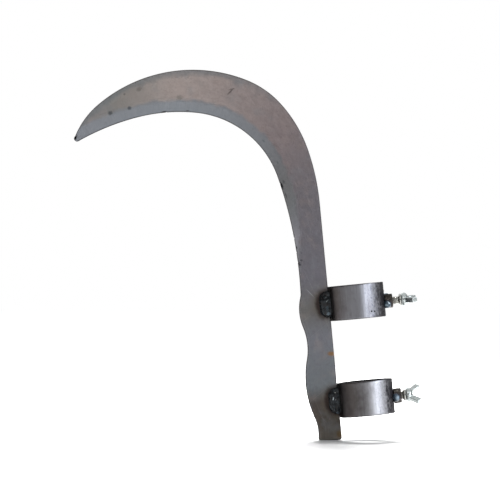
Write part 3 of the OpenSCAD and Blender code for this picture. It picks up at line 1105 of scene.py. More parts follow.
@dataclass(frozen=True)
class Blade:
    """The sheet: a wavy tang with a straight back edge, and the ground hook above it."""

    thickness: float = 3.0
    tang_drop: float = 87.5
    foot_slant: float = 1.2
    foot_fade: float = 14.0
    foot_width: float = 24.0
    corner_radius: float = 2.5
    rim_radius: float = 0.55
    bevel_width: float = 12.0
    edge_thickness: float = 0.4
    bevel_runout: float = 110.0
    bevel_waver: float = 0.5
    bevel_blend: float = 0.3
    back_straight_top: float = 151.0
    tang_heading: float = 84.0
    tang_arcs: tuple[Arc, ...] = (
        Arc(0, 4.5), Arc(44, 26), Arc(94, -35.5), Arc(60, 33), Arc(50, -35.5), Arc(14, 15.5),
    )
    cutting_arcs: tuple[Arc, ...] = (Arc(420, 16.5), Arc(98, 65.5), Arc(172, 20), Arc(248, 14.5))
    back_arcs: tuple[Arc, ...] = (
        Arc(232, 14), Arc(136, 22.5), Arc(94, 27), Arc(148, 62), Arc(82, 27),
    )
    # Nicks in the cutting edge: their place along it from the heel, their depth and half width
    nicks: tuple[tuple[float, float, float], ...] = (
        (32.0, 0.5, 0.9), (42.0, 0.5, 0.8), (56.5, 0.6, 0.9), (113.5, 0.35, 0.9), (262.0, 0.35, 0.9),
    )
    step: float = 1.25
    foot_rows: tuple[float, ...] = (0.8, 1.1, 1.5, 2.0, 2.5)
    # Turns of the last cuts round the tip, in radians
    tip_turns: tuple[float, ...] = (0.12, 0.26, 0.42, 0.6, 0.8, 1.0, 1.2, 1.36, 1.47)
    rim_shares: tuple[float, ...] = (0.0, 0.1, 0.27, 0.53, 1.0)
    bevel_columns: int = 10
    face_columns: int = 14
    least_shoulder: float = 0.15
    thinnest: float = 0.05
    least_ground: float = 0.1

    def edges(self) -> tuple[Edge, Edge, Edge]:
        """Draw the blade's edges in its plane.

        Returns:
            The tang's front edge, the cutting edge and the back edge above the heel.
        """
        back_x = -ring_radius(Level.UPPER) / MM
        foot = Vector((back_x - self.foot_width, -self.tang_drop))
        tang = Edge(foot, math.radians(self.tang_heading), self.tang_arcs)
        heel, heading = tang.at(tang.length())
        straight = Arc(0, self.back_straight_top - heel.y)
        back = Edge(Vector((back_x, heel.y)), math.pi / 2, (straight, *self.back_arcs))
        return tang, Edge(heel, heading, self.cutting_arcs), back

    def ground_at(self, reach: float) -> float:
        """Work out the bevel's width, a little uneven as ground by hand.

        Args:
            reach: The length above the heel.

        Returns:
            The width, in millimetres.
        """
        rise = (1 - math.cos(math.pi * min(1.0, reach / self.bevel_runout))) / 2
        waver = self.bevel_waver * noise.noise(Vector((reach / 17, 0.3, 0.7)))
        return max(0.0, (self.bevel_width + waver) * rise)

    def nick_at(self, reach: float) -> float:
        """Return how far the nicks draw the cutting edge in at a length above the heel."""
        return sum(d * max(0.0, 1 - abs(reach - at) / w) for at, d, w in self.nicks)

    def cuts(self) -> list[Cut]:
        """Lay the cuts from the foot to the tip.

        Returns:
            The cuts in order, each with its length from the foot along the middle.
        """
        tang, cutting, back = self.edges()
        radius = self.corner_radius
        found = []
        low = [self.rim_radius * s for s in self.rim_shares] + list(self.foot_rows)
        steps = round((tang.length() - radius) / self.step)
        high = [radius + (tang.length() - radius) * k / steps for k in range(1, steps)]
        for reach in low + high:
            front = tang.at(reach)[0]
            up = front.y + self.tang_drop
            inset = radius - math.sqrt(radius**2 - max(0.0, radius - up) ** 2)
            slant = self.foot_slant * max(0.0, 1 - up / self.foot_fade)
            end = Vector((back.start.x - inset, front.y - slant))
            found.append(Cut(front + Vector((inset, 0)), end, 0.0, up))

        steps = round(back.length() / self.step)
        shares = [k / steps for k in range(steps + 1)]
        for at, _, half in self.nicks:
            shares += [(at + half * k / 2) / cutting.length() for k in (-2, -1, 0, 1, 2)]
        for share in sorted(shares):
            reach = share * cutting.length()
            front, end = cutting.at(reach)[0], back.at(share * back.length())[0]
            inward = (end - front).normalized() * self.nick_at(reach)
            found.append(Cut(front + inward, end, self.ground_at(reach), math.inf))

        middle = (found[-1].front + found[-1].back) / 2
        across = (found[-1].back - found[-1].front) / 2
        ahead = Vector((-across.y, across.x))
        for turn in self.tip_turns:
            centre = middle + ahead * math.sin(turn)
            half = across * math.cos(turn)
            found.append(Cut(centre - half, centre + half, self.bevel_width, math.inf))

        run, last, placed = 0.0, found[0], []
        for cut in found:
            run += ((cut.front + cut.back) / 2 - (last.front + last.back) / 2).length
            placed.append(Cut(cut.front, cut.back, cut.ground, cut.above_foot, run))
            last = cut
        return placed

    def columns(self, cut: Cut) -> list[float]:
        """Space the points across one cut, close together at both rims.

        Args:
            cut: The cut.

        Returns:
            Distances from the front edge.
        """
        width = cut.width()
        rim = min(self.rim_radius, width / 5)
        low, high = rim, width - rim
        wanted = max(cut.ground, self.bevel_width / 2) - low
        least = self.least_shoulder * (high - low)
        shoulder = low + min(max(wanted, least), high - low - least)
        found = [rim * s for s in self.rim_shares]
        bevel, face = (shoulder - low) / self.bevel_columns, (high - shoulder) / self.face_columns
        found += [low + bevel * k for k in range(1, self.bevel_columns + 1)]
        found += [shoulder + face * k for k in range(1, self.face_columns)]
        return found + [width - rim * s for s in reversed(self.rim_shares)]

    def half_thickness(self, cut: Cut, reach: float) -> float:
        """Work out half the sheet's thickness at one point of a cut.

        Args:
            cut: The cut.
            reach: The distance from its front edge.

        Returns:
            Half the thickness, in millimetres.
        """
        half = self.thickness / 2

        def rounded(gap: float, radius: float) -> float:
            """Return half the thickness near a rim that is rounded to a radius."""
            short = max(0.0, radius - gap)
            return half - radius + math.sqrt(max(0.0, radius**2 - short**2))

        share = min(1.0, cut.ground / (self.bevel_width / 2))
        found = min(
            rounded(reach, self.rim_radius * (1 - share)),
            rounded(cut.width() - reach, self.rim_radius),
            rounded(cut.above_foot, self.rim_radius),
        )
        if cut.ground > self.least_ground:
            depth = cut.ground * (self.thickness - self.edge_thickness) / 2 / self.bevel_width
            ground = half - depth + depth * reach / cut.ground
            blend = self.bevel_blend
            close = max(blend - abs(ground - found), 0.0) / blend
            found = min(ground, found) - close * close * blend / 4
        return max(found, self.thinnest)

    def build(self) -> tuple[bpy.types.Object, float]:
        """Shape the sheet from a grid that is drawn out between its two edges.

        The edges turn both ways with a changing width, which no bend tool follows, so each row of
        the grid is laid on its cut.

        Returns:
            The piece, and the blade's length along its middle in metres.
        """
        cuts = self.cuts()
        spans = [self.columns(cut) for cut in cuts]
        rows, columns = len(cuts) - 1, len(spans[0]) - 1
        deselect()
        bpy.ops.mesh.primitive_grid_add(x_subdivisions=rows, y_subdivisions=columns, size=1.0)
        piece = new_piece("sickle_blade")
        edit(piece)
        bpy.ops.mesh.select_all(action="SELECT")
        bpy.ops.mesh.extrude_region_move(TRANSFORM_OT_translate={"value": (0, 0, 1)})
        bpy.ops.object.mode_set(mode="OBJECT")

        mesh = piece.data
        bevel = mesh.attributes.new("bevel", "FLOAT", "POINT")
        rim = mesh.attributes.new("rim", "FLOAT", "POINT")
        laid = []
        for vertex in mesh.vertices:
            row = round((vertex.co.x + 0.5) * rows)
            column = round((vertex.co.y + 0.5) * columns)
            cut, reach = cuts[row], spans[row][column]
            along = (cut.back - cut.front).normalized()
            flat = cut.front + along * reach
            side = -1.0 if vertex.co.z < 0.5 else 1.0
            half = self.half_thickness(cut, reach)
            vertex.co = Vector((flat.x, side * half, flat.y)) * MM
            bevel.data[vertex.index].value = cut.ground - reach
            rim.data[vertex.index].value = min(reach, cut.width() - reach, cut.above_foot)
            laid.append((cut.run * MM, reach * MM))
        layer = mesh.uv_layers.new(name="along_edge")
        for loop in mesh.loops:
            layer.data[loop.index].uv = laid[loop.vertex_index]
        close_up(piece, 40)
        return piece, cuts[-1].run * MM


@dataclass(frozen=True)
class PoleRing:
    """One of the two short tubes that take the pole."""

    level: Level
    wall: float = 3.0
    rim_radius: float = 0.5
    sides: int = 160
    rows: int = 14
    hole_diameter: float = 8.54
    # The saw drew the rims in a little, unevenly, over this share of half the height
    saw_waver: float = 0.10
    sawn_share: float = 0.3
    saw_waves: float = 2.2
    # Two black specks of spatter beside the upper ring's nut, by X and Z
    specks: tuple[tuple[float, float], ...] = ((12.9, 38.0), (16.1, 37.7))
    speck_radii: tuple[float, float, float] = (1.05, 1.05, 1.15)

    def build(self) -> bpy.types.Object:
        """Draw the tube, saw it, round its rims and drill it for the bolt.

        Returns:
            The piece.
        """
        radius, height = ring_radius(self.level), ring_height(self.level)
        middle = middle_of(f"{self.level.value}_ring")
        deselect()
        bpy.ops.mesh.primitive_cylinder_add(
            vertices=self.sides, radius=radius, depth=height, end_fill_type="NOTHING", location=middle
        )
        piece = new_piece(f"{self.level.value}_tube_ring")
        set_down(piece, Matrix.Identity(4))
        edit(piece, "EDGE")
        pick_edges(piece, lambda a, b: abs(a.z - b.z) > height / 2)
        bpy.ops.mesh.subdivide(number_cuts=self.rows)
        bpy.ops.object.mode_set(mode="OBJECT")
        apply_modifier(piece, "SOLIDIFY", thickness=self.wall * MM, offset=-1.0)
        edit(piece, "EDGE")
        inner = radius - self.wall * MM

        def on_rim(a: Vector, b: Vector) -> bool:
            """Say whether an edge runs along one of the four rims.

            Args:
                a: One end of the edge.
                b: Its other end.

            Returns:
                Whether it lies on a rim's circle.
            """
            level = abs(a.z - b.z) < MERGE and abs(abs(a.z - middle.z) - height / 2) < NEAR
            near = [min(abs(p.xy.length - radius), abs(p.xy.length - inner)) < NEAR for p in (a, b)]
            return level and all(near) and abs(a.xy.length - b.xy.length) < NEAR

        pick_edges(piece, on_rim)
        bpy.ops.mesh.bevel(offset=self.rim_radius * MM, segments=3, affect="EDGES")
        bpy.ops.object.mode_set(mode="OBJECT")
        self.saw(piece, middle.z, height)
        bpy.ops.mesh.primitive_cylinder_add(
            vertices=64, radius=self.hole_diameter / 2 * MM, depth=radius, rotation=(0, math.pi / 2, 0),
            location=(radius, 0, middle_of(f"{self.level.value}_nut").z),
        )
        cut_with(piece, bpy.context.active_object, "DIFFERENCE")
        close_up(piece)
        return piece

    def saw(self, piece: bpy.types.Object, middle: float, height: float) -> None:
        """Saw the rims, which draws them in a little, unevenly.

        Args:
            piece: The even tube.
            middle: The height of its middle, in metres.
            height: Its height, in metres.
        """
        def sawn(point: Vector) -> Vector:
            """Draw a point near a rim in.

            Args:
                point: Its place on the even tube.

            Returns:
                Its place on the sawn one.
            """
            turn = math.atan2(point.y, point.x)
            off = point.z - middle
            end = math.copysign(1, off)
            near_rim = max(0.0, abs(off) / (height / 2) - 1 + self.sawn_share) / self.sawn_share
            place = Vector((self.saw_waves * math.cos(turn), self.saw_waves * math.sin(turn), 4 * end))
            waver = (noise.noise(place) - 1) / 2 * self.saw_waver * MM
            return point + Vector((0, 0, end * near_rim * waver))

        reshape(piece, sawn)

    def marks(self) -> list[Stain]:
        """Give the ring's own specks their places.

        Returns:
            Their stains, which only the upper ring has.
        """
        if self.level is Level.LOWER:
            return []
        radius = ring_radius(self.level) / MM
        centres = [Vector((x, -math.sqrt(radius**2 - x**2), z)) * MM for x, z in self.specks]
        return [Stain(centre, self.speck_radii, "#0a0c0d", 1.0, 0.35, 0.0) for centre in centres]


@dataclass(frozen=True)
class Spatter:
    """Beads of weld metal that flew onto a ring round its nut."""

    level: Level
    seed: int
    count: int = 34
    nearest: float = 8.3
    farthest: float = 19.0
    least: float = 0.22
    most: float = 0.55
    # Where they stop short of the ring's rims, and of its front and back
    off_rim: float = 1.5
    reach_round: float = 0.9

    def build(self) -> bpy.types.Object:
        """Set small balls half into the ring's outer face.

        Returns:
            The piece.
        """
        rng = random.Random(self.seed)
        radius = ring_radius(self.level) / MM
        nut = middle_of(f"{self.level.value}_nut").z / MM
        ring = middle_of(f"{self.level.value}_ring").z / MM
        half = ring_height(self.level) / 2 / MM
        balls = []
        while len(balls) < self.count:
            off, turn = rng.uniform(self.nearest, self.farthest), rng.uniform(0, 2 * math.pi)
            size = rng.uniform(self.least, self.most)
            z, across = nut + off * math.sin(turn), off * math.cos(turn)
            if abs(z - ring) > half - self.off_rim or abs(across) > radius * self.reach_round:
                continue
            place = Vector((math.sqrt(radius**2 - across**2), across, z)) * MM
            deselect()
            bpy.ops.mesh.primitive_ico_sphere_add(subdivisions=2, radius=size * MM, location=place)
            balls.append(bpy.context.active_object)
        deselect()
        for ball in balls:
            ball.select_set(True)
        bpy.context.view_layer.objects.active = balls[0]
        bpy.ops.object.join()
        piece = new_piece(f"{self.level.value}_ring_spatter")
        set_down(piece, Matrix.Identity(4))
        bpy.ops.object.shade_smooth()
        return piece


@dataclass(frozen=True)
class FilletWeld:
    """A bead in the corner between the tang's face and a ring."""

    level: Level
    side: Side
    strands: int
    length: float = 27.4
    on_tang: float = 10.0
    on_ring: float = 17.0
    crown: float = 1.6
    bite: float = 0.06
    strand_height: float = 0.5
    strand_groove: float = 0.6
    ripple_pitch: float = 2.1
    ripple_height: float = 0.010
    ripple_bow: float = 2.4
    ripple_wander: float = 0.6
    wander_length: float = 5.0
    waver: float = 0.06
    thinnest: float = 0.03
    points: int = 64
    rows: int = 110
    under_share: float = 0.28
    # Bright strokes painted as highlights on the glassy scale, and dull blue patches where the scale
    # sprang off, by the bead's level
    upper_flecks_and_highlights: tuple[Mark, ...] = (
        # Two bright strokes: painted highlights
        Mark(-31.3, 55.9, 0.7, 2.2, "#70787a", 0.7, -50),
        Mark(-29.9, 52.4, 0.8, 2.6, "#8b9494", 0.8, -50),
        Mark(-29.6, 39.6, 3.0, 2.4, "#56626a", 0.8, 20),
        Mark(-30.4, 44.6, 2.2, 4.6, "#37434a", 0.7),
    )
    lower_flecks_and_highlights: tuple[Mark, ...] = (
        # Two bright strokes: painted highlights
        Mark(-33.1, -46.4, 0.8, 2.4, "#aab4b8", 0.9, -15),
        Mark(-30.6, -40.6, 0.9, 0.9, "#9d9f98", 0.9),
        Mark(-30.2, -61.6, 2.2, 2.2, "#69737a", 0.85),
        Mark(-28.9, -52.0, 0.9, 5.6, "#4d5358", 0.7),
        Mark(-37.2, -53.0, 0.9, 6.5, "#4a5257", 0.7, 8),
        Mark(-31.0, -47.6, 1.9, 0.8, "#565c60", 0.7, 30),
    )

    def name(self) -> str:
        """Return the name of the solid that the bead stands for."""
        return f"{self.level.value}_{self.side.value}_weld"

    def flecks(self) -> list[Stain]:
        """Give the bead's flecks and painted highlights their places.

        Returns:
            Their stains.
        """
        like = Stain(Vector(), (0, 5.0, 0), "", fade=0.6, ragged=0.2, patch=1.2, roughness=0.3)
        face = Vector((0, self.side.sign() * 5.0 * MM, 0))
        marks = self.upper_flecks_and_highlights if self.level is Level.UPPER else self.lower_flecks_and_highlights
        return [mark.on(face, like) for mark in marks]

    def fullness(self, share: float) -> float:
        """Work out how full the bead is, with round ends and slow waves.

        Args:
            share: The share of the bead's length.

        Returns:
            The share of its full section.
        """
        end = abs(2 * share - 1)
        waves = 1 + self.waver * noise.noise(Vector((7 * share, 0.4, self.strands)))
        return max(self.thinnest, math.sqrt(max(0.0, 1 - end**4)) * waves)

    def section(self, share: float, turn: float, blade_half: float, radius: float) -> Vector:
        """Place one point of the bead's skin.

        Args:
            share: The share of the bead's length.
            turn: The share of the way round its section, from the toe on the tang.
            blade_half: Half the sheet's thickness.
            radius: The ring's outer radius.

        Returns:
            The point, with Y outwards from the blade and Z along the bead.
        """
        full = self.fullness(share)
        seat, inner = blade_half - self.bite, radius - self.bite
        first = math.asin(seat / inner)
        last = first + (math.radians(self.on_ring) - first) * full
        toe = Vector((-radius - self.on_tang * full, seat))
        high = Vector((-inner * math.cos(last), inner * math.sin(last)))
        z = self.length * (share - 0.5)
        if turn < self.under_share:
            way = turn / self.under_share
            corner = Vector((-inner * math.cos(first), seat))
            flat = toe.lerp(corner, way * 2) if way < 0.5 else corner.lerp(high, way * 2 - 1)
            return Vector((flat.x, flat.y, z))
        way = (turn - self.under_share) / (1 - self.under_share)
        span = toe - high
        out = Vector((span.y, -span.x)).normalized()
        strand = self.strand_height * (abs(math.sin(self.strands * math.pi * way)) - self.strand_groove)
        bow = self.ripple_bow * (2 * abs((self.strands * way) % 1 - 0.5)) ** 2
        place = Vector((z / self.wander_length, 3 * way, self.strands))
        uneven = self.ripple_wander * noise.noise(place)
        ripple = self.ripple_height * math.sin(2 * math.pi * (z + bow + uneven) / self.ripple_pitch)
        swell = (self.crown + strand + ripple) * math.sin(math.pi * way)
        flat = high + span * way + out * swell * full
        return Vector((flat.x, flat.y, z))

    def build(self) -> bpy.types.Object:
        """Draw a cylinder's rings of points onto the bead's sections.

        Returns:
            The piece.
        """
        deselect()
        bpy.ops.mesh.primitive_cylinder_add(
            vertices=self.points, radius=1.0, depth=1.0, end_fill_type="NGON"
        )
        piece = new_piece(f"{self.level.value}_{self.side.value}_bead")
        edit(piece, "EDGE")
        pick_edges(piece, lambda a, b: abs(a.z - b.z) > 0.5)
        bpy.ops.mesh.subdivide(number_cuts=self.rows)
        bpy.ops.object.mode_set(mode="OBJECT")
        blade_half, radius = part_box("blade")[1].y / MM, ring_radius(self.level) / MM
        middle = middle_of(self.name()).z
        sign = self.side.sign()

        def place(point: Vector) -> Vector:
            """Lay one point of the cylinder on the bead.

            Args:
                point: The point on the cylinder.

            Returns:
                Its place on the bead.
            """
            share = (1 - math.cos(math.pi * (point.z + 0.5))) / 2
            turn = (math.atan2(point.y, point.x) / (2 * math.pi)) % 1.0
            laid = self.section(share, turn, blade_half, radius)
            return Vector((laid.x * MM, sign * laid.y * MM, laid.z * MM + middle))

        reshape(piece, place)
        close_up(piece, 50)
        return piece


@dataclass(frozen=True)
class TackWeld:
    """A round blob of weld metal between a nut and its ring."""

    level: Level
    side: Side
    radius: float = 4.5
    height_share: float = 0.93
    lift: float = 0.5
    lump: float = 0.3
    lump_size: float = 0.9
    ripple: float = 0.03
    ripple_turns: float = 11.0
    # Painted sheen, by X and Z from the blob's middle: a lighter lit right half with bright streaks on
    # the lower blob, a pale rim as a painted highlight on the upper one, and bluish patches of thin
    # scale
    upper_painted_sheen: tuple[Mark, ...] = (
        Mark(-0.9, -1.0, 2.4, 2.2, "#71818a", 0.9),
        Mark(2.0, 1.1, 0.8, 2.9, "#aab4b9", 0.8, 40),
    )
    lower_painted_sheen: tuple[Mark, ...] = (
        Mark(1.2, -0.3, 2.6, 3.9, "#69757e", 0.95),
        Mark(-3.0, 0.2, 0.7, 2.2, "#6d7d86", 0.7, 10),
        Mark(0.5, -0.2, 0.3, 3.2, "#5f7280", 0.7, 4),
        Mark(2.1, -0.3, 0.3, 3.0, "#73848f", 0.7, -3),
    )

    def name(self) -> str:
        """Return the name of the solid that the tack stands for."""
        return f"{self.level.value}_nut_{self.side.value}_tack"

    def painted_sheen(self) -> list[Stain]:
        """Give the blob's painted sheen and bluish patches their places.

        Returns:
            Their stains.
        """
        like = Stain(Vector(), (0, 5.0, 0), "", fade=0.7, ragged=0.3, patch=1.5, roughness=0.3)
        face = self.centre() + Vector((0, self.side.sign() * 3.5 * MM, 0))
        marks = self.upper_painted_sheen if self.level is Level.UPPER else self.lower_painted_sheen
        return [mark.on(face, like) for mark in marks]

    def centre(self) -> Vector:
        """Find the middle of the blob from its solid's box.

        Returns:
            The middle, in metres.
        """
        low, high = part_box(self.name())
        radius = self.radius * MM
        y = low.y + radius if self.side is Side.FRONT else high.y - radius
        return Vector((high.x - radius, y, (low.z + high.z) / 2 + self.lift * MM))

    def build(self) -> bpy.types.Object:
        """Swell a ball unevenly, with faint rings where it froze.

        Returns:
            The piece.
        """
        deselect()
        bpy.ops.mesh.primitive_uv_sphere_add(segments=64, ring_count=40, radius=self.radius * MM)
        piece = new_piece(f"{self.level.value}_{self.side.value}_tack_blob")
        centre = self.centre()
        shift = 5.0 if self.level is Level.UPPER else 9.0

        def lumpy(point: Vector) -> Vector:
            """Move a point in or out along its own radius.

            Args:
                point: The point on the ball.

            Returns:
                Its place on the blob.
            """
            out = point.normalized()
            swell = self.lump * (noise.noise(out * self.lump_size + Vector((shift, 0, 0))) - 0.6)
            rings = self.ripple * (math.sin(self.ripple_turns * out.x) - 1)
            moved = point + out * (swell + rings) * MM
            return Vector((moved.x, moved.y, moved.z * self.height_share))

        reshape(piece, lumpy)
        set_down(piece, Matrix.Translation(centre))
        close_up(piece, 60)
        return piece


def on_bolt(level: Level, x: float, turn: float = 0.0) -> Matrix:
    """Give the place of a piece that is modelled along Z on a bolt's axis.

    Args:
        level: Which bolt it is.
        x: The distance of the piece's origin from the pole's axis, in metres.
        turn: Its turn about the bolt's axis, in radians.

    Returns:
        From the modelling frame to the row frame.
    """
    place = Matrix.Translation((x, 0, middle_of(f"{level.value}_nut").z))
    return place @ Matrix.Rotation(math.pi / 2, 4, "Y") @ Matrix.Rotation(turn, 4, "Z")


@dataclass(frozen=True)
class WeldNut:
    """A hexagon nut, chamfered round on both faces."""

    level: Level
    turn: float
    across_flats: float = 13.3
    height: float = 8.0
    bore: float = 8.04
    countersink: float = 0.6
    edge_radius: float = 0.16
    chamfer_slope: float = 30.0
    chamfer_inset: float = 0.1
    blank_spare: float = 0.02

    def turned_blank(self, corner: float) -> bpy.types.Object:
        """Turn the round blank whose cones chamfer the hexagon.

        Args:
            corner: The radius over the hexagon's corners, in millimetres.

        Returns:
            The blank, which the hexagon is then cut to.
        """
        face = self.across_flats / 2 - self.chamfer_inset
        slope = (corner - face) * math.tan(math.radians(self.chamfer_slope))
        straight = self.height - 2 * slope
        blank = add_cylinder(corner + self.blank_spare, straight, self.height / 2, 96)
        set_down(blank, Matrix.Identity(4))
        edit(blank)
        for up in (1, -1):
            pick_faces(blank, lambda middle, normal: normal.z * up > 0.9)
            draw_out(up * slope, face / corner)
        bpy.ops.object.mode_set(mode="OBJECT")
        return blank

    def build(self) -> bpy.types.Object:
        """Cut the hexagon to its blank, drill it and break its edges.

        Returns:
            The piece.
        """
        corner = self.across_flats / 2 / math.cos(math.radians(30))
        deselect()
        add_cylinder(corner, self.height, self.height / 2, 6)
        piece = new_piece(f"{self.level.value}_hex_nut")
        set_down(piece, Matrix.Rotation(math.radians(30), 4, "Z"))
        cut_with(piece, self.turned_blank(corner), "INTERSECT")
        bore = self.bore / 2
        cut_with(piece, add_cylinder(bore, 2 * self.height, vertices=72), "DIFFERENCE")
        sunk = 2 * self.countersink
        bpy.ops.mesh.primitive_cone_add(
            vertices=72, radius1=bore * MM, radius2=(bore + sunk) * MM, depth=sunk * MM,
            location=(0, 0, self.height * MM),
        )
        cut_with(piece, bpy.context.active_object, "DIFFERENCE")
        apply_modifier(piece, "BEVEL", width=self.edge_radius * MM, segments=2, limit_method="ANGLE",
                       angle_limit=math.radians(25), use_clamp_overlap=True)
        set_down(piece, on_bolt(self.level, ring_radius(self.level), math.radians(self.turn)))
        close_up(piece, 30)
        return piece


@dataclass(frozen=True)
class WingBolt:
    """A wing bolt: a threaded stud under a collar, and a forged head with two wings."""

    level: Level
    wing_turn: float
    thread_diameter: float = 7.94
    pitch: float = 25.4 / 18
    thread_depth: float = 0.82
    # The thread's profile: how steep its flanks are and how much of it is root
    flank: float = 1.62
    root: float = 0.2
    runout: float = 0.8
    end_chamfer: float = 1.0
    stud_length: float = 14.9
    flare: float = 1.6
    flare_step: float = 0.55
    collar_diameter: float = 12.4
    collar_thickness: float = 1.4
    collar_edge: float = 0.25
    spigot_edge: float = 0.3
    spigot_play: float = 0.1
    spigot_radius: float = 2.4
    spigot_length: float = 4.4
    hub_radius: float = 7.0
    hub_half_length: float = 4.3
    hub_middle: float = 3.5
    hub_length: float = 7.2
    gap: float = 0.3
    head_length: float = 16.4
    shoulder_power: float = 2.8
    span: float = 26.8
    root_thickness: float = 5.2
    tip_thickness: float = 4.7
    corner_along: float = 11.4
    tip_width: float = 5.8
    tip_slant: float = 36.5
    wing_slope: float = 48.0
    wing_edge: float = 12.0
    notch_bottom: float = 6.9
    notch_radius: float = 5.6
    notch_turns: tuple[int, ...] = (20, 27, 34, 41, 48, 55, 62, 69, 76, 83)
    edge_radius: float = 0.5
    sides: int = 80
    rows_per_turn: int = 14
    voxel: float = 0.15
    smoothing: int = 16

    def collar_face(self) -> float:
        """Return where the collar's outer face is, in metres from the pole's axis."""
        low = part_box(f"{self.level.value}_bolt_stud")[0].x
        return low + self.stud_length * MM

    def thread_radius(self, turn: float, z: float) -> float:
        """Work out the thread's radius.

        Args:
            turn: The turn about the bolt's axis, in radians.
            z: The height, which is 0 at the collar's outer face.

        Returns:
            The radius, in millimetres.
        """
        way = (z / self.pitch - turn / (2 * math.pi)) % 1.0
        crest = min(1.0, max(0.0, self.flank * (1 - abs(2 * way - 1)) - self.root))
        below_collar = -z - self.flare - self.collar_thickness
        deep = min(1.0, max(0.0, below_collar / self.runout))
        cut = self.thread_depth * (1 - crest) * deep
        chamfered = self.end_chamfer - z - self.stud_length
        return self.thread_diameter / 2 - max(cut, chamfered)

    def build_stud(self) -> bpy.types.Object:
        """Roll the thread, then draw the flare, the collar and the spigot out of its top.

        Returns:
            The piece.
        """
        top = -self.flare - self.collar_thickness
        thread = top + self.stud_length
        radius = self.thread_diameter / 2
        deselect()
        add_cylinder(radius, thread, top - thread / 2, self.sides)
        piece = new_piece(f"{self.level.value}_threaded_stud")
        set_down(piece, Matrix.Identity(4))
        edit(piece, "EDGE")
        pick_edges(piece, lambda a, b: abs(a.z - b.z) > thread * MM / 2)
        bpy.ops.mesh.subdivide(number_cuts=round(thread / self.pitch * self.rows_per_turn))
        bpy.ops.mesh.select_mode(type="FACE")
        pick_faces(piece, lambda middle, normal: normal.z > 0.9)
        now = radius
        collar, edge, spigot = self.collar_diameter / 2, self.collar_edge, self.spigot_radius
        steps = (
            (self.flare / 2, radius + self.flare_step),
            (self.flare / 2, collar - edge),
            (edge, collar),
            (self.collar_thickness - 2 * edge, collar),
            (edge, collar - edge),
            (0.0, spigot),
            (self.spigot_length - self.spigot_edge, spigot),
            (self.spigot_edge, spigot - self.spigot_edge),
        )
        for rise, new in steps:
            draw_out(rise, new / now)
            now = new
        bpy.ops.object.mode_set(mode="OBJECT")

        def threaded(point: Vector) -> Vector:
            """Sink the thread's groove into the stud.

            Args:
                point: The point on the plain stud.

            Returns:
                Its place on the thread, or the point itself above it.
            """
            z = point.z / MM
            if z > top - 1e-4:
                return point
            flat = point.xy.normalized() * self.thread_radius(math.atan2(point.y, point.x), z) * MM
            return Vector((flat.x, flat.y, point.z))

        reshape(piece, threaded)
        set_down(piece, on_bolt(self.level, self.collar_face()))
        close_up(piece)
        return piece

    def wing_outline(self) -> list[Vector]:
        """Draw the outline of both wings with the round notch between them.

        Returns:
            The outline's points once round, with X off the bolt's axis and Y along it.
        """
        slope, slant = math.radians(self.wing_slope), math.radians(self.tip_slant)
        corner = Vector((self.span / 2, self.corner_along))
        root = corner - self.wing_edge * Vector((math.cos(slope), math.sin(slope)))
        tip = corner + self.tip_width * Vector((-math.sin(slant), math.cos(slant)))
        half = [root, corner, tip]
        for turn in map(math.radians, self.notch_turns):
            along = self.notch_bottom + self.notch_radius * (1 - math.sin(turn))
            half.append(Vector((self.notch_radius * math.cos(turn), along)))
        mirrored = [Vector((-point.x, point.y)) for point in reversed(half)]
        return [Vector((0, self.hub_middle)), *half, Vector((0, self.notch_bottom)), *mirrored]

    def wings(self) -> bpy.types.Object:
        """Draw both wings out of one plate that thins towards the tips.

        Returns:
            The plate, modelled in the XZ plane.
        """
        outline = self.wing_outline()
        bpy.ops.mesh.primitive_circle_add(vertices=len(outline), radius=1.0, fill_type="NGON")
        plate = bpy.context.active_object
        for vertex, point in zip(plate.data.vertices, outline):
            vertex.co = Vector((point.x, -0.5, point.y))
        edit(plate)
        bpy.ops.mesh.select_all(action="SELECT")
        bpy.ops.mesh.extrude_region_move(TRANSFORM_OT_translate={"value": (0, 1, 0)})
        bpy.ops.mesh.select_all(action="SELECT")
        bpy.ops.mesh.normals_make_consistent(inside=False)
        bpy.ops.object.mode_set(mode="OBJECT")

        def thinned(point: Vector) -> Vector:
            """Give one point of the plate the thickness of its place.

            Args:
                point: The point, with Y from -0.5 to 0.5 through the plate.

            Returns:
                Its place, in metres.
            """
            thick = self.root_thickness
            thick += (self.tip_thickness - self.root_thickness) * point.z / self.head_length
            return Vector((point.x, thick * point.y, point.z)) * MM

        reshape(plate, thinned)
        apply_modifier(plate, "BEVEL", width=self.edge_radius * MM, segments=3,
                       limit_method="ANGLE", angle_limit=math.radians(40))
        return plate

    def build_head(self) -> bpy.types.Object:
        """Join the hub and both wings and blend them, as forging does.

        Returns:
            The piece.
        """
        deselect()
        ball = self.hub_radius * MM
        bpy.ops.mesh.primitive_uv_sphere_add(segments=96, ring_count=48, radius=ball)
        piece = new_piece(f"{self.level.value}_wing_head")

        def fuller(point: Vector) -> Vector:
            """Fill the ball out towards the collar.

            Args:
                point: The point on the ball.

            Returns:
                Its place on the hub.
            """
            share = min(1.0, -point.z / ball)
            if not 0 < share <= 0.999:
                return point
            power = self.shoulder_power
            wider = (1 - share**power) ** (1 / power) / math.sqrt(1 - share**2)
            return Vector((point.x * wider, point.y * wider, point.z))

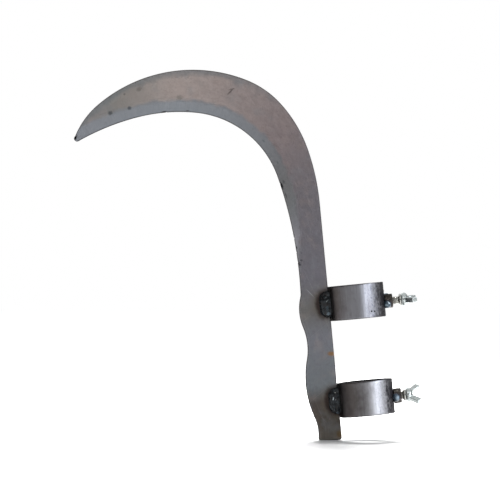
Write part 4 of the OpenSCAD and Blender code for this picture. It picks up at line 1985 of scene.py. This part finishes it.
        reshape(piece, fuller)
        edit(piece, "VERT")
        bpy.ops.mesh.select_all(action="SELECT")
        bpy.ops.transform.resize(value=(1, 1, self.hub_half_length / self.hub_radius))
        bpy.ops.transform.translate(value=(0, 0, self.hub_middle * MM))
        for height, cleared in ((self.gap, "clear_inner"), (self.hub_length, "clear_outer")):
            bpy.ops.mesh.select_all(action="SELECT")
            bpy.ops.mesh.bisect(
                plane_co=(0, 0, height * MM), plane_no=(0, 0, 1), use_fill=True, **{cleared: True}
            )
        bpy.ops.object.mode_set(mode="OBJECT")
        cut_with(piece, self.wings(), "UNION")
        apply_modifier(piece, "REMESH", mode="VOXEL", voxel_size=self.voxel * MM)
        apply_modifier(piece, "SMOOTH", factor=0.5, iterations=self.smoothing)
        socket = 2 * (self.spigot_length + 2 * self.spigot_play)
        cut_with(piece, add_cylinder(self.spigot_radius + self.spigot_play, socket), "DIFFERENCE")
        set_down(piece, on_bolt(self.level, self.collar_face(), math.radians(self.wing_turn)))
        close_up(piece, 45)
        return piece


@dataclass(frozen=True)
class SoftBox:
    """A lamp with a rectangular face. A radiance of 1 shows as white."""

    name: str
    place: tuple[float, float, float]
    width: float
    height: float
    radiance: float
    tint: str = "#ffffff"
    mirrored: bool = True

    def hang(self, aim: Vector) -> None:
        """Hang the lamp so that it looks at a place.

        Args:
            aim: The place, in metres.
        """
        data = bpy.data.lights.new(self.name, "AREA")
        data.shape = "RECTANGLE"
        data.size, data.size_y = self.width, self.height
        data.energy = self.radiance * math.pi * self.width * self.height
        data.color = srgb(self.tint)[:3]
        lamp = bpy.data.objects.new(self.name, data)
        bpy.context.scene.collection.objects.link(lamp)
        lamp.location = self.place
        lamp.rotation_mode = "QUATERNION"
        lamp.rotation_quaternion = (aim - Vector(self.place)).to_track_quat("-Z", "Z")
        lamp.visible_glossy = self.mirrored


@dataclass(frozen=True)
class Studio:
    """A pale floor, a white surround, soft lamps and the camera of the picture, in metres.

    The tool leans by a few degrees in the picture, so the camera's own upright leans against
    the pole's axis, and the floor lies square to it.
    """

    lean: float = math.radians(5.38)
    aim: tuple[float, float, float] = (-0.1028, 0.0, 0.1110)
    distance: float = 2.835
    eye_drop: float = 0.0354
    focal_length: float = 201.6
    floor_drop: float = 0.0914
    floor_radius: float = 14.0
    # The floor glows a little where it is seen, more so far off, so that it runs into the white
    near_lift: float = 0.03
    far_lift: float = 0.80
    away_band: tuple[float, float] = (0.35, 1.4)
    # In the metal it also glows behind the tool and beside it, as the photo's reflections ask
    behind_band: tuple[float, float] = (0.03, 0.20)
    beside_band: tuple[float, float] = (0.02, 0.08)
    board: str = "#949494"
    board_in_metal: str = "#7c7c7c"
    # What the metal mirrors of the room, by direction
    room_left: str = "#3f3c3a"
    room_right: str = "#6c6c6c"
    room_front: str = "#343232"
    room_back: str = "#a8a8a8"
    room_top: str = "#f0f0f0"
    right_turn: tuple[float, float] = (-0.7, 0.6)
    front_turns: tuple[tuple[float, float], ...] = ((-0.32, -0.16), (0.10, -0.06))
    back_turn: tuple[float, float] = (-0.15, 0.45)
    top_turn: tuple[float, float] = (0.25, 0.8)
    # The last lamp hangs behind the tool, so that its shadow falls towards the camera
    lamps: tuple[SoftBox, ...] = (
        SoftBox("right_soft_box", (1.21, -0.88, 0.30), 0.75, 1.7, 5.3, "#f0f6ff"),
        SoftBox("front_soft_box", (-0.7, -2.3, 1.5), 2.2, 1.3, 1.2),
        SoftBox("back_soft_box", (-0.8, 2.2, 1.3), 1.8, 1.3, 0.9),
        SoftBox("overhead_soft_box", (0.15, 1.30, 1.4), 0.8, 1.0, 142.0, mirrored=False),
    )

    def upright(self) -> Vector:
        """Return the camera's upright."""
        return Vector((math.sin(self.lean), 0, math.cos(self.lean)))

    def camera(self) -> None:
        """Set up the camera: level, a little below the middle of the picture."""
        place = Vector(self.aim) - self.upright() * self.eye_drop
        place.y = -self.distance
        ahead = (Vector(self.aim) - place).normalized()
        right = ahead.cross(self.upright()).normalized()
        data = bpy.data.cameras.new("picture_camera")
        data.lens = self.focal_length
        camera = bpy.data.objects.new("picture_camera", data)
        bpy.context.scene.collection.objects.link(camera)
        turn = Matrix((right, right.cross(ahead), -ahead)).transposed().to_4x4()
        camera.matrix_world = Matrix.Translation(place) @ turn
        bpy.context.scene.camera = camera

    def paint_floor(self) -> bpy.types.Material:
        """Mix the floor's paint: it shows white, and keeps the tool's shadow.

        Returns:
            The material.
        """
        material = bpy.data.materials.new("painted_white_board")
        material.use_nodes = True
        graph = Graph(material.node_tree)
        rays = graph.add("ShaderNodeLightPath").outputs
        mirrored = rays["Is Glossy Ray"]
        shade = graph.blend(Blend.COLOUR, mirrored, srgb(self.board), srgb(self.board_in_metal))
        board = graph.add("ShaderNodeBsdfPrincipled", {
            "Base Color": shade, "Roughness": 0.9, "Specular IOR Level": 0.1,
        })
        seen = graph.sum_up("MAXIMUM", rays["Is Camera Ray"], mirrored)
        seen = graph.sum_up("MAXIMUM", seen, rays["Is Transmission Ray"])
        place = graph.add("ShaderNodeTexCoord").outputs["Object"]
        across, ahead, _ = graph.split(place)
        away = graph.ramp_up(graph.measure(place), *self.away_band, self.near_lift, self.far_lift)
        behind = graph.ramp_up(ahead, *self.behind_band, top=self.far_lift)
        beside = graph.ramp_up(across, *self.beside_band, top=self.far_lift)
        round_tool = graph.both(graph.sum_up("MAXIMUM", behind, beside), mirrored)
        lift = graph.sum_up("MAXIMUM", graph.both(seen, away), round_tool)
        glow = graph.add("ShaderNodeEmission", {"Color": (1, 1, 1, 1), "Strength": lift})
        painted = graph.add("ShaderNodeAddShader", {0: board.outputs[0], 1: glow.outputs[0]})
        graph.add("ShaderNodeOutputMaterial", {"Surface": painted.outputs[0]})
        return material

    def floor(self) -> None:
        """Lay the floor under the tang's foot."""
        deselect()
        bpy.ops.mesh.primitive_circle_add(vertices=96, radius=self.floor_radius, fill_type="NGON")
        floor = new_piece("studio_floor")
        turn = Matrix.Rotation(self.lean, 4, "Y")
        set_down(floor, Matrix.Translation(-self.upright() * self.floor_drop) @ turn)
        floor.data.materials.append(self.paint_floor())

    def world(self) -> None:
        """Surround the tool with white for the camera, and with a dimmer room for the metal."""
        world = bpy.data.worlds.new("studio")
        bpy.context.scene.world = world
        world.use_nodes = True
        graph = Graph(world.node_tree)
        across, ahead, up = graph.split(graph.add("ShaderNodeTexCoord").outputs["Generated"])
        right = graph.ramp_up(across, *self.right_turn)
        front = graph.both(*(graph.ramp_up(across, *turn) for turn in self.front_turns))
        room = graph.blend(Blend.COLOUR, right, srgb(self.room_left), srgb(self.room_right))
        room = graph.blend(Blend.COLOUR, front, room, srgb(self.room_front))
        back = graph.ramp_up(ahead, *self.back_turn)
        room = graph.blend(Blend.COLOUR, back, room, srgb(self.room_back))
        room = graph.blend(Blend.COLOUR, graph.ramp_up(up, *self.top_turn), room, srgb(self.room_top))
        rays = graph.add("ShaderNodeLightPath").outputs
        seen = graph.sum_up("MAXIMUM", rays["Is Camera Ray"], rays["Is Transmission Ray"])
        shown = graph.blend(Blend.COLOUR, seen, room, (1, 1, 1, 1))
        light = graph.add("ShaderNodeBackground", {"Color": shown, "Strength": 1.0})
        graph.add("ShaderNodeOutputWorld", {"Surface": light.outputs[0]})

    def build(self) -> None:
        """Set up the whole studio."""
        self.camera()
        self.floor()
        self.world()
        for lamp in self.lamps:
            lamp.hang(Vector(self.aim))
        log.info("studio ready")


@dataclass(frozen=True)
class Wear:
    """The blade's stains: weld heat round each bead, rust, and marks of handling."""

    brown_heat: str = "#585046"
    brown_radii: tuple[float, float, float] = (18.0, 9.0, 21.0)
    black_heat: str = "#2b2220"
    black_radii: tuple[float, float, float] = (10.8, 9.0, 18.5)
    rust: tuple[Mark, ...] = (
        Mark(-30.6, -1.2, 6.0, 3.4, "#7c5c3a", 0.9, -8),
        Mark(-30.3, -83.2, 4.2, 5.4, "#5e4b2e", 0.75),
    )
    # Two round pits near the tip, and the tip itself
    pits: tuple[Mark, ...] = (
        Mark(-230.6, 262.4, 3.3, 3.0, "#484a4c", 0.9, 20),
        Mark(-210.9, 265.6, 2.9, 2.8, "#464a4f", 0.9, 20),
        Mark(-268.6, 240.5, 2.1, 5.0, "#0a0a0b", 1.0, -32),
    )
    smudges: tuple[Mark, ...] = (
        Mark(-214.6, 280.0, 1.9, 1.5, "#565553", 0.75, 20),
        Mark(-199.4, 283.6, 4.6, 3.2, "#68635f", 0.75, 20),
        Mark(-159.5, 271.5, 5.8, 3.6, "#736e69", 0.75),
        Mark(-78.6, 219.6, 1.7, 2.4, "#4e5557", 0.6, 40),
        Mark(-66.5, 196.6, 1.4, 2.4, "#4d5456", 0.55, 20),
    )
    # The hook's scratch and its fainter branch, and one beside the upper bead
    scratches: tuple[Mark, ...] = (
        Mark(-107.6, 272.4, 6.4, 1.0, "#4a4340", 0.9, 40),
        Mark(-106.4, 274.8, 4.2, 0.9, "#57504d", 0.8, 8),
        Mark(-46.5, 62.0, 7.5, 0.5, "#9b9a9d", 0.6, -52),
    )
    # Blows and bites along the cutting edge, from the tip's side to the heel
    bites: tuple[Mark, ...] = (
        Mark(-176.9, 258.6, 4.2, 0.9, "#2c2624", 0.85, 8),
        Mark(-152.4, 257.5, 2.6, 0.7, "#3c3634", 0.75),
        Mark(-71.6, 189.5, 1.1, 9.0, "#2b2a2c", 0.75, 22),
        Mark(-65.0, 173.0, 2.1, 5.2, "#17191a", 1.0, 18),
        Mark(-62.4, 176.6, 1.8, 3.2, "#4b4d4e", 0.7, 18),
        Mark(-61.3, 162.5, 1.0, 5.0, "#3b3b3d", 0.7, 15),
        Mark(-55.7, 108.9, 1.1, 2.0, "#2b2d2d", 0.9, 5),
        Mark(-51.3, 103.0, 1.4, 2.0, "#4b4b50", 0.6),
        Mark(-52.0, 95.8, 2.0, 1.6, "#3a3a3e", 0.8),
        Mark(-55.1, 93.2, 1.6, 3.0, "#141516", 1.0, 4),
        Mark(-53.9, 91.2, 1.9, 1.4, "#2b2c2e", 0.85),
        Mark(-57.2, 122.0, 1.1, 2.8, "#2c2e2e", 0.85, 10),
    )
    # A place over the bites that rubbed bright
    rubbed: tuple[Mark, ...] = (Mark(-55.6, 117.5, 2.0, 10.0, "#918f93", 0.45, 7),)

    def stains(self) -> list[Stain]:
        """Give all stains their places on the blade.

        Returns:
            The stains in the order that they are laid.
        """
        found = []
        for level in Level:
            weld = middle_of(f"{level.value}_front_weld")
            heat = Vector((weld.x - 1.0 * MM, 0, weld.z))
            found.append(Stain(heat, self.brown_radii, self.brown_heat, 0.75, 0.7, 0.3, 5.0, 0.45))
            found.append(Stain(heat, self.black_radii, self.black_heat, 0.95, 0.42, 0.25, 4.0, 0.5))
        like = Stain(Vector(), (0, 9.0, 0), "", fade=0.7, ragged=0.5, patch=1.5)
        marks = (*self.rust, *self.pits, *self.smudges, *self.scratches, *self.bites, *self.rubbed)
        return found + [mark.on(Vector(), like) for mark in marks]


@dataclass(frozen=True)
class Sickle:
    """The whole tool, with the turns that show in the picture, in degrees.

    A wing turns from the blade's plane, and a nut from the pose with one corner on top. The
    strands are the runs of each bead, and the seeds scatter each ring's spatter.
    """

    wing_turns: tuple[tuple[Level, float], ...] = ((Level.UPPER, 96.0), (Level.LOWER, 130.0))
    nut_turns: tuple[tuple[Level, float], ...] = ((Level.UPPER, 22.0), (Level.LOWER, 0.0))
    strands: tuple[tuple[Level, int], ...] = ((Level.UPPER, 2), (Level.LOWER, 3))
    seeds: tuple[tuple[Level, int], ...] = ((Level.UPPER, 11), (Level.LOWER, 23))

    def build(self) -> None:
        """Build all pieces in the order that the real tool is made in."""
        shape, run = Blade().build()
        hand_over(shape, HotRolledSheet().make(run, Wear().stains()), Slot.BLADE, "root", "blade")
        flown = WeldScale().make("blue_black_weld_scale")
        for level in Level:
            self.build_ring(level)
            self.build_nut(level)
            hand_over(Spatter(level, dict(self.seeds)[level]).build(), flown, Slot.WELD, "root")
            self.build_bolt(level)

    def build_ring(self, level: Level) -> None:
        """Build one ring and weld it to the tang and to its nut's tacks.

        Args:
            level: Which ring it is.
        """
        ring = PoleRing(level)
        tube = TUBES[level].make(level, ring.marks())
        hand_over(ring.build(), tube, Slot.RING, "root", f"{level.value}_ring")
        for side in Side:
            bead = FilletWeld(level, side, dict(self.strands)[level])
            # The bead's scale carries its flecks and painted highlights
            scale = WeldScale().make(f"{level.value}_{side.value}_weld_scale", bead.flecks())
            hand_over(bead.build(), scale, Slot.WELD, "root", bead.name())
            tack = TackWeld(level, side)
            scale = TACK_SCALE.make(f"{level.value}_{side.value}_tack_scale", tack.painted_sheen())
            hand_over(tack.build(), scale, Slot.WELD, "root", tack.name())

    def build_nut(self, level: Level) -> None:
        """Build one nut.

        Args:
            level: Which nut it is.
        """
        scorched = ScorchedNut().make(level, TackWeld(level, Side.FRONT).centre())
        nut = WeldNut(level, dict(self.nut_turns)[level])
        hand_over(nut.build(), scorched, Slot.NUT, "root", f"{level.value}_nut")

    def build_bolt(self, level: Level) -> None:
        """Build one wing bolt, its stud burnt dull where the tacks heated it.

        Args:
            level: Which bolt it is.
        """
        name = level.value
        screw = WingBolt(level, dict(self.wing_turns)[level])
        nut_face = Vector((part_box(f"{name}_nut")[1].x, 0, middle_of(f"{name}_nut").z))
        duller = BrightZinc("#b4b4af", roughness=0.26, metallic=0.9)
        stud_zinc = duller.make(f"{name}_stud_zinc", nut_face)
        head_zinc = BrightZinc().make(f"{name}_head_zinc")
        hand_over(screw.build_stud(), stud_zinc, Slot.ZINC, f"{name}_stud", f"{name}_bolt_stud")
        hand_over(screw.build_head(), head_zinc, Slot.ZINC, f"{name}_wings", f"{name}_bolt_wings")


def main() -> None:
    """Build the tool and the studio."""
    logging.basicConfig(level=logging.INFO, format="%(name)s: %(message)s")
    bpy.context.scene.view_settings.view_transform = "Standard"
    Sickle().build()
    Studio().build()


if __name__ == "__main__":
    main()
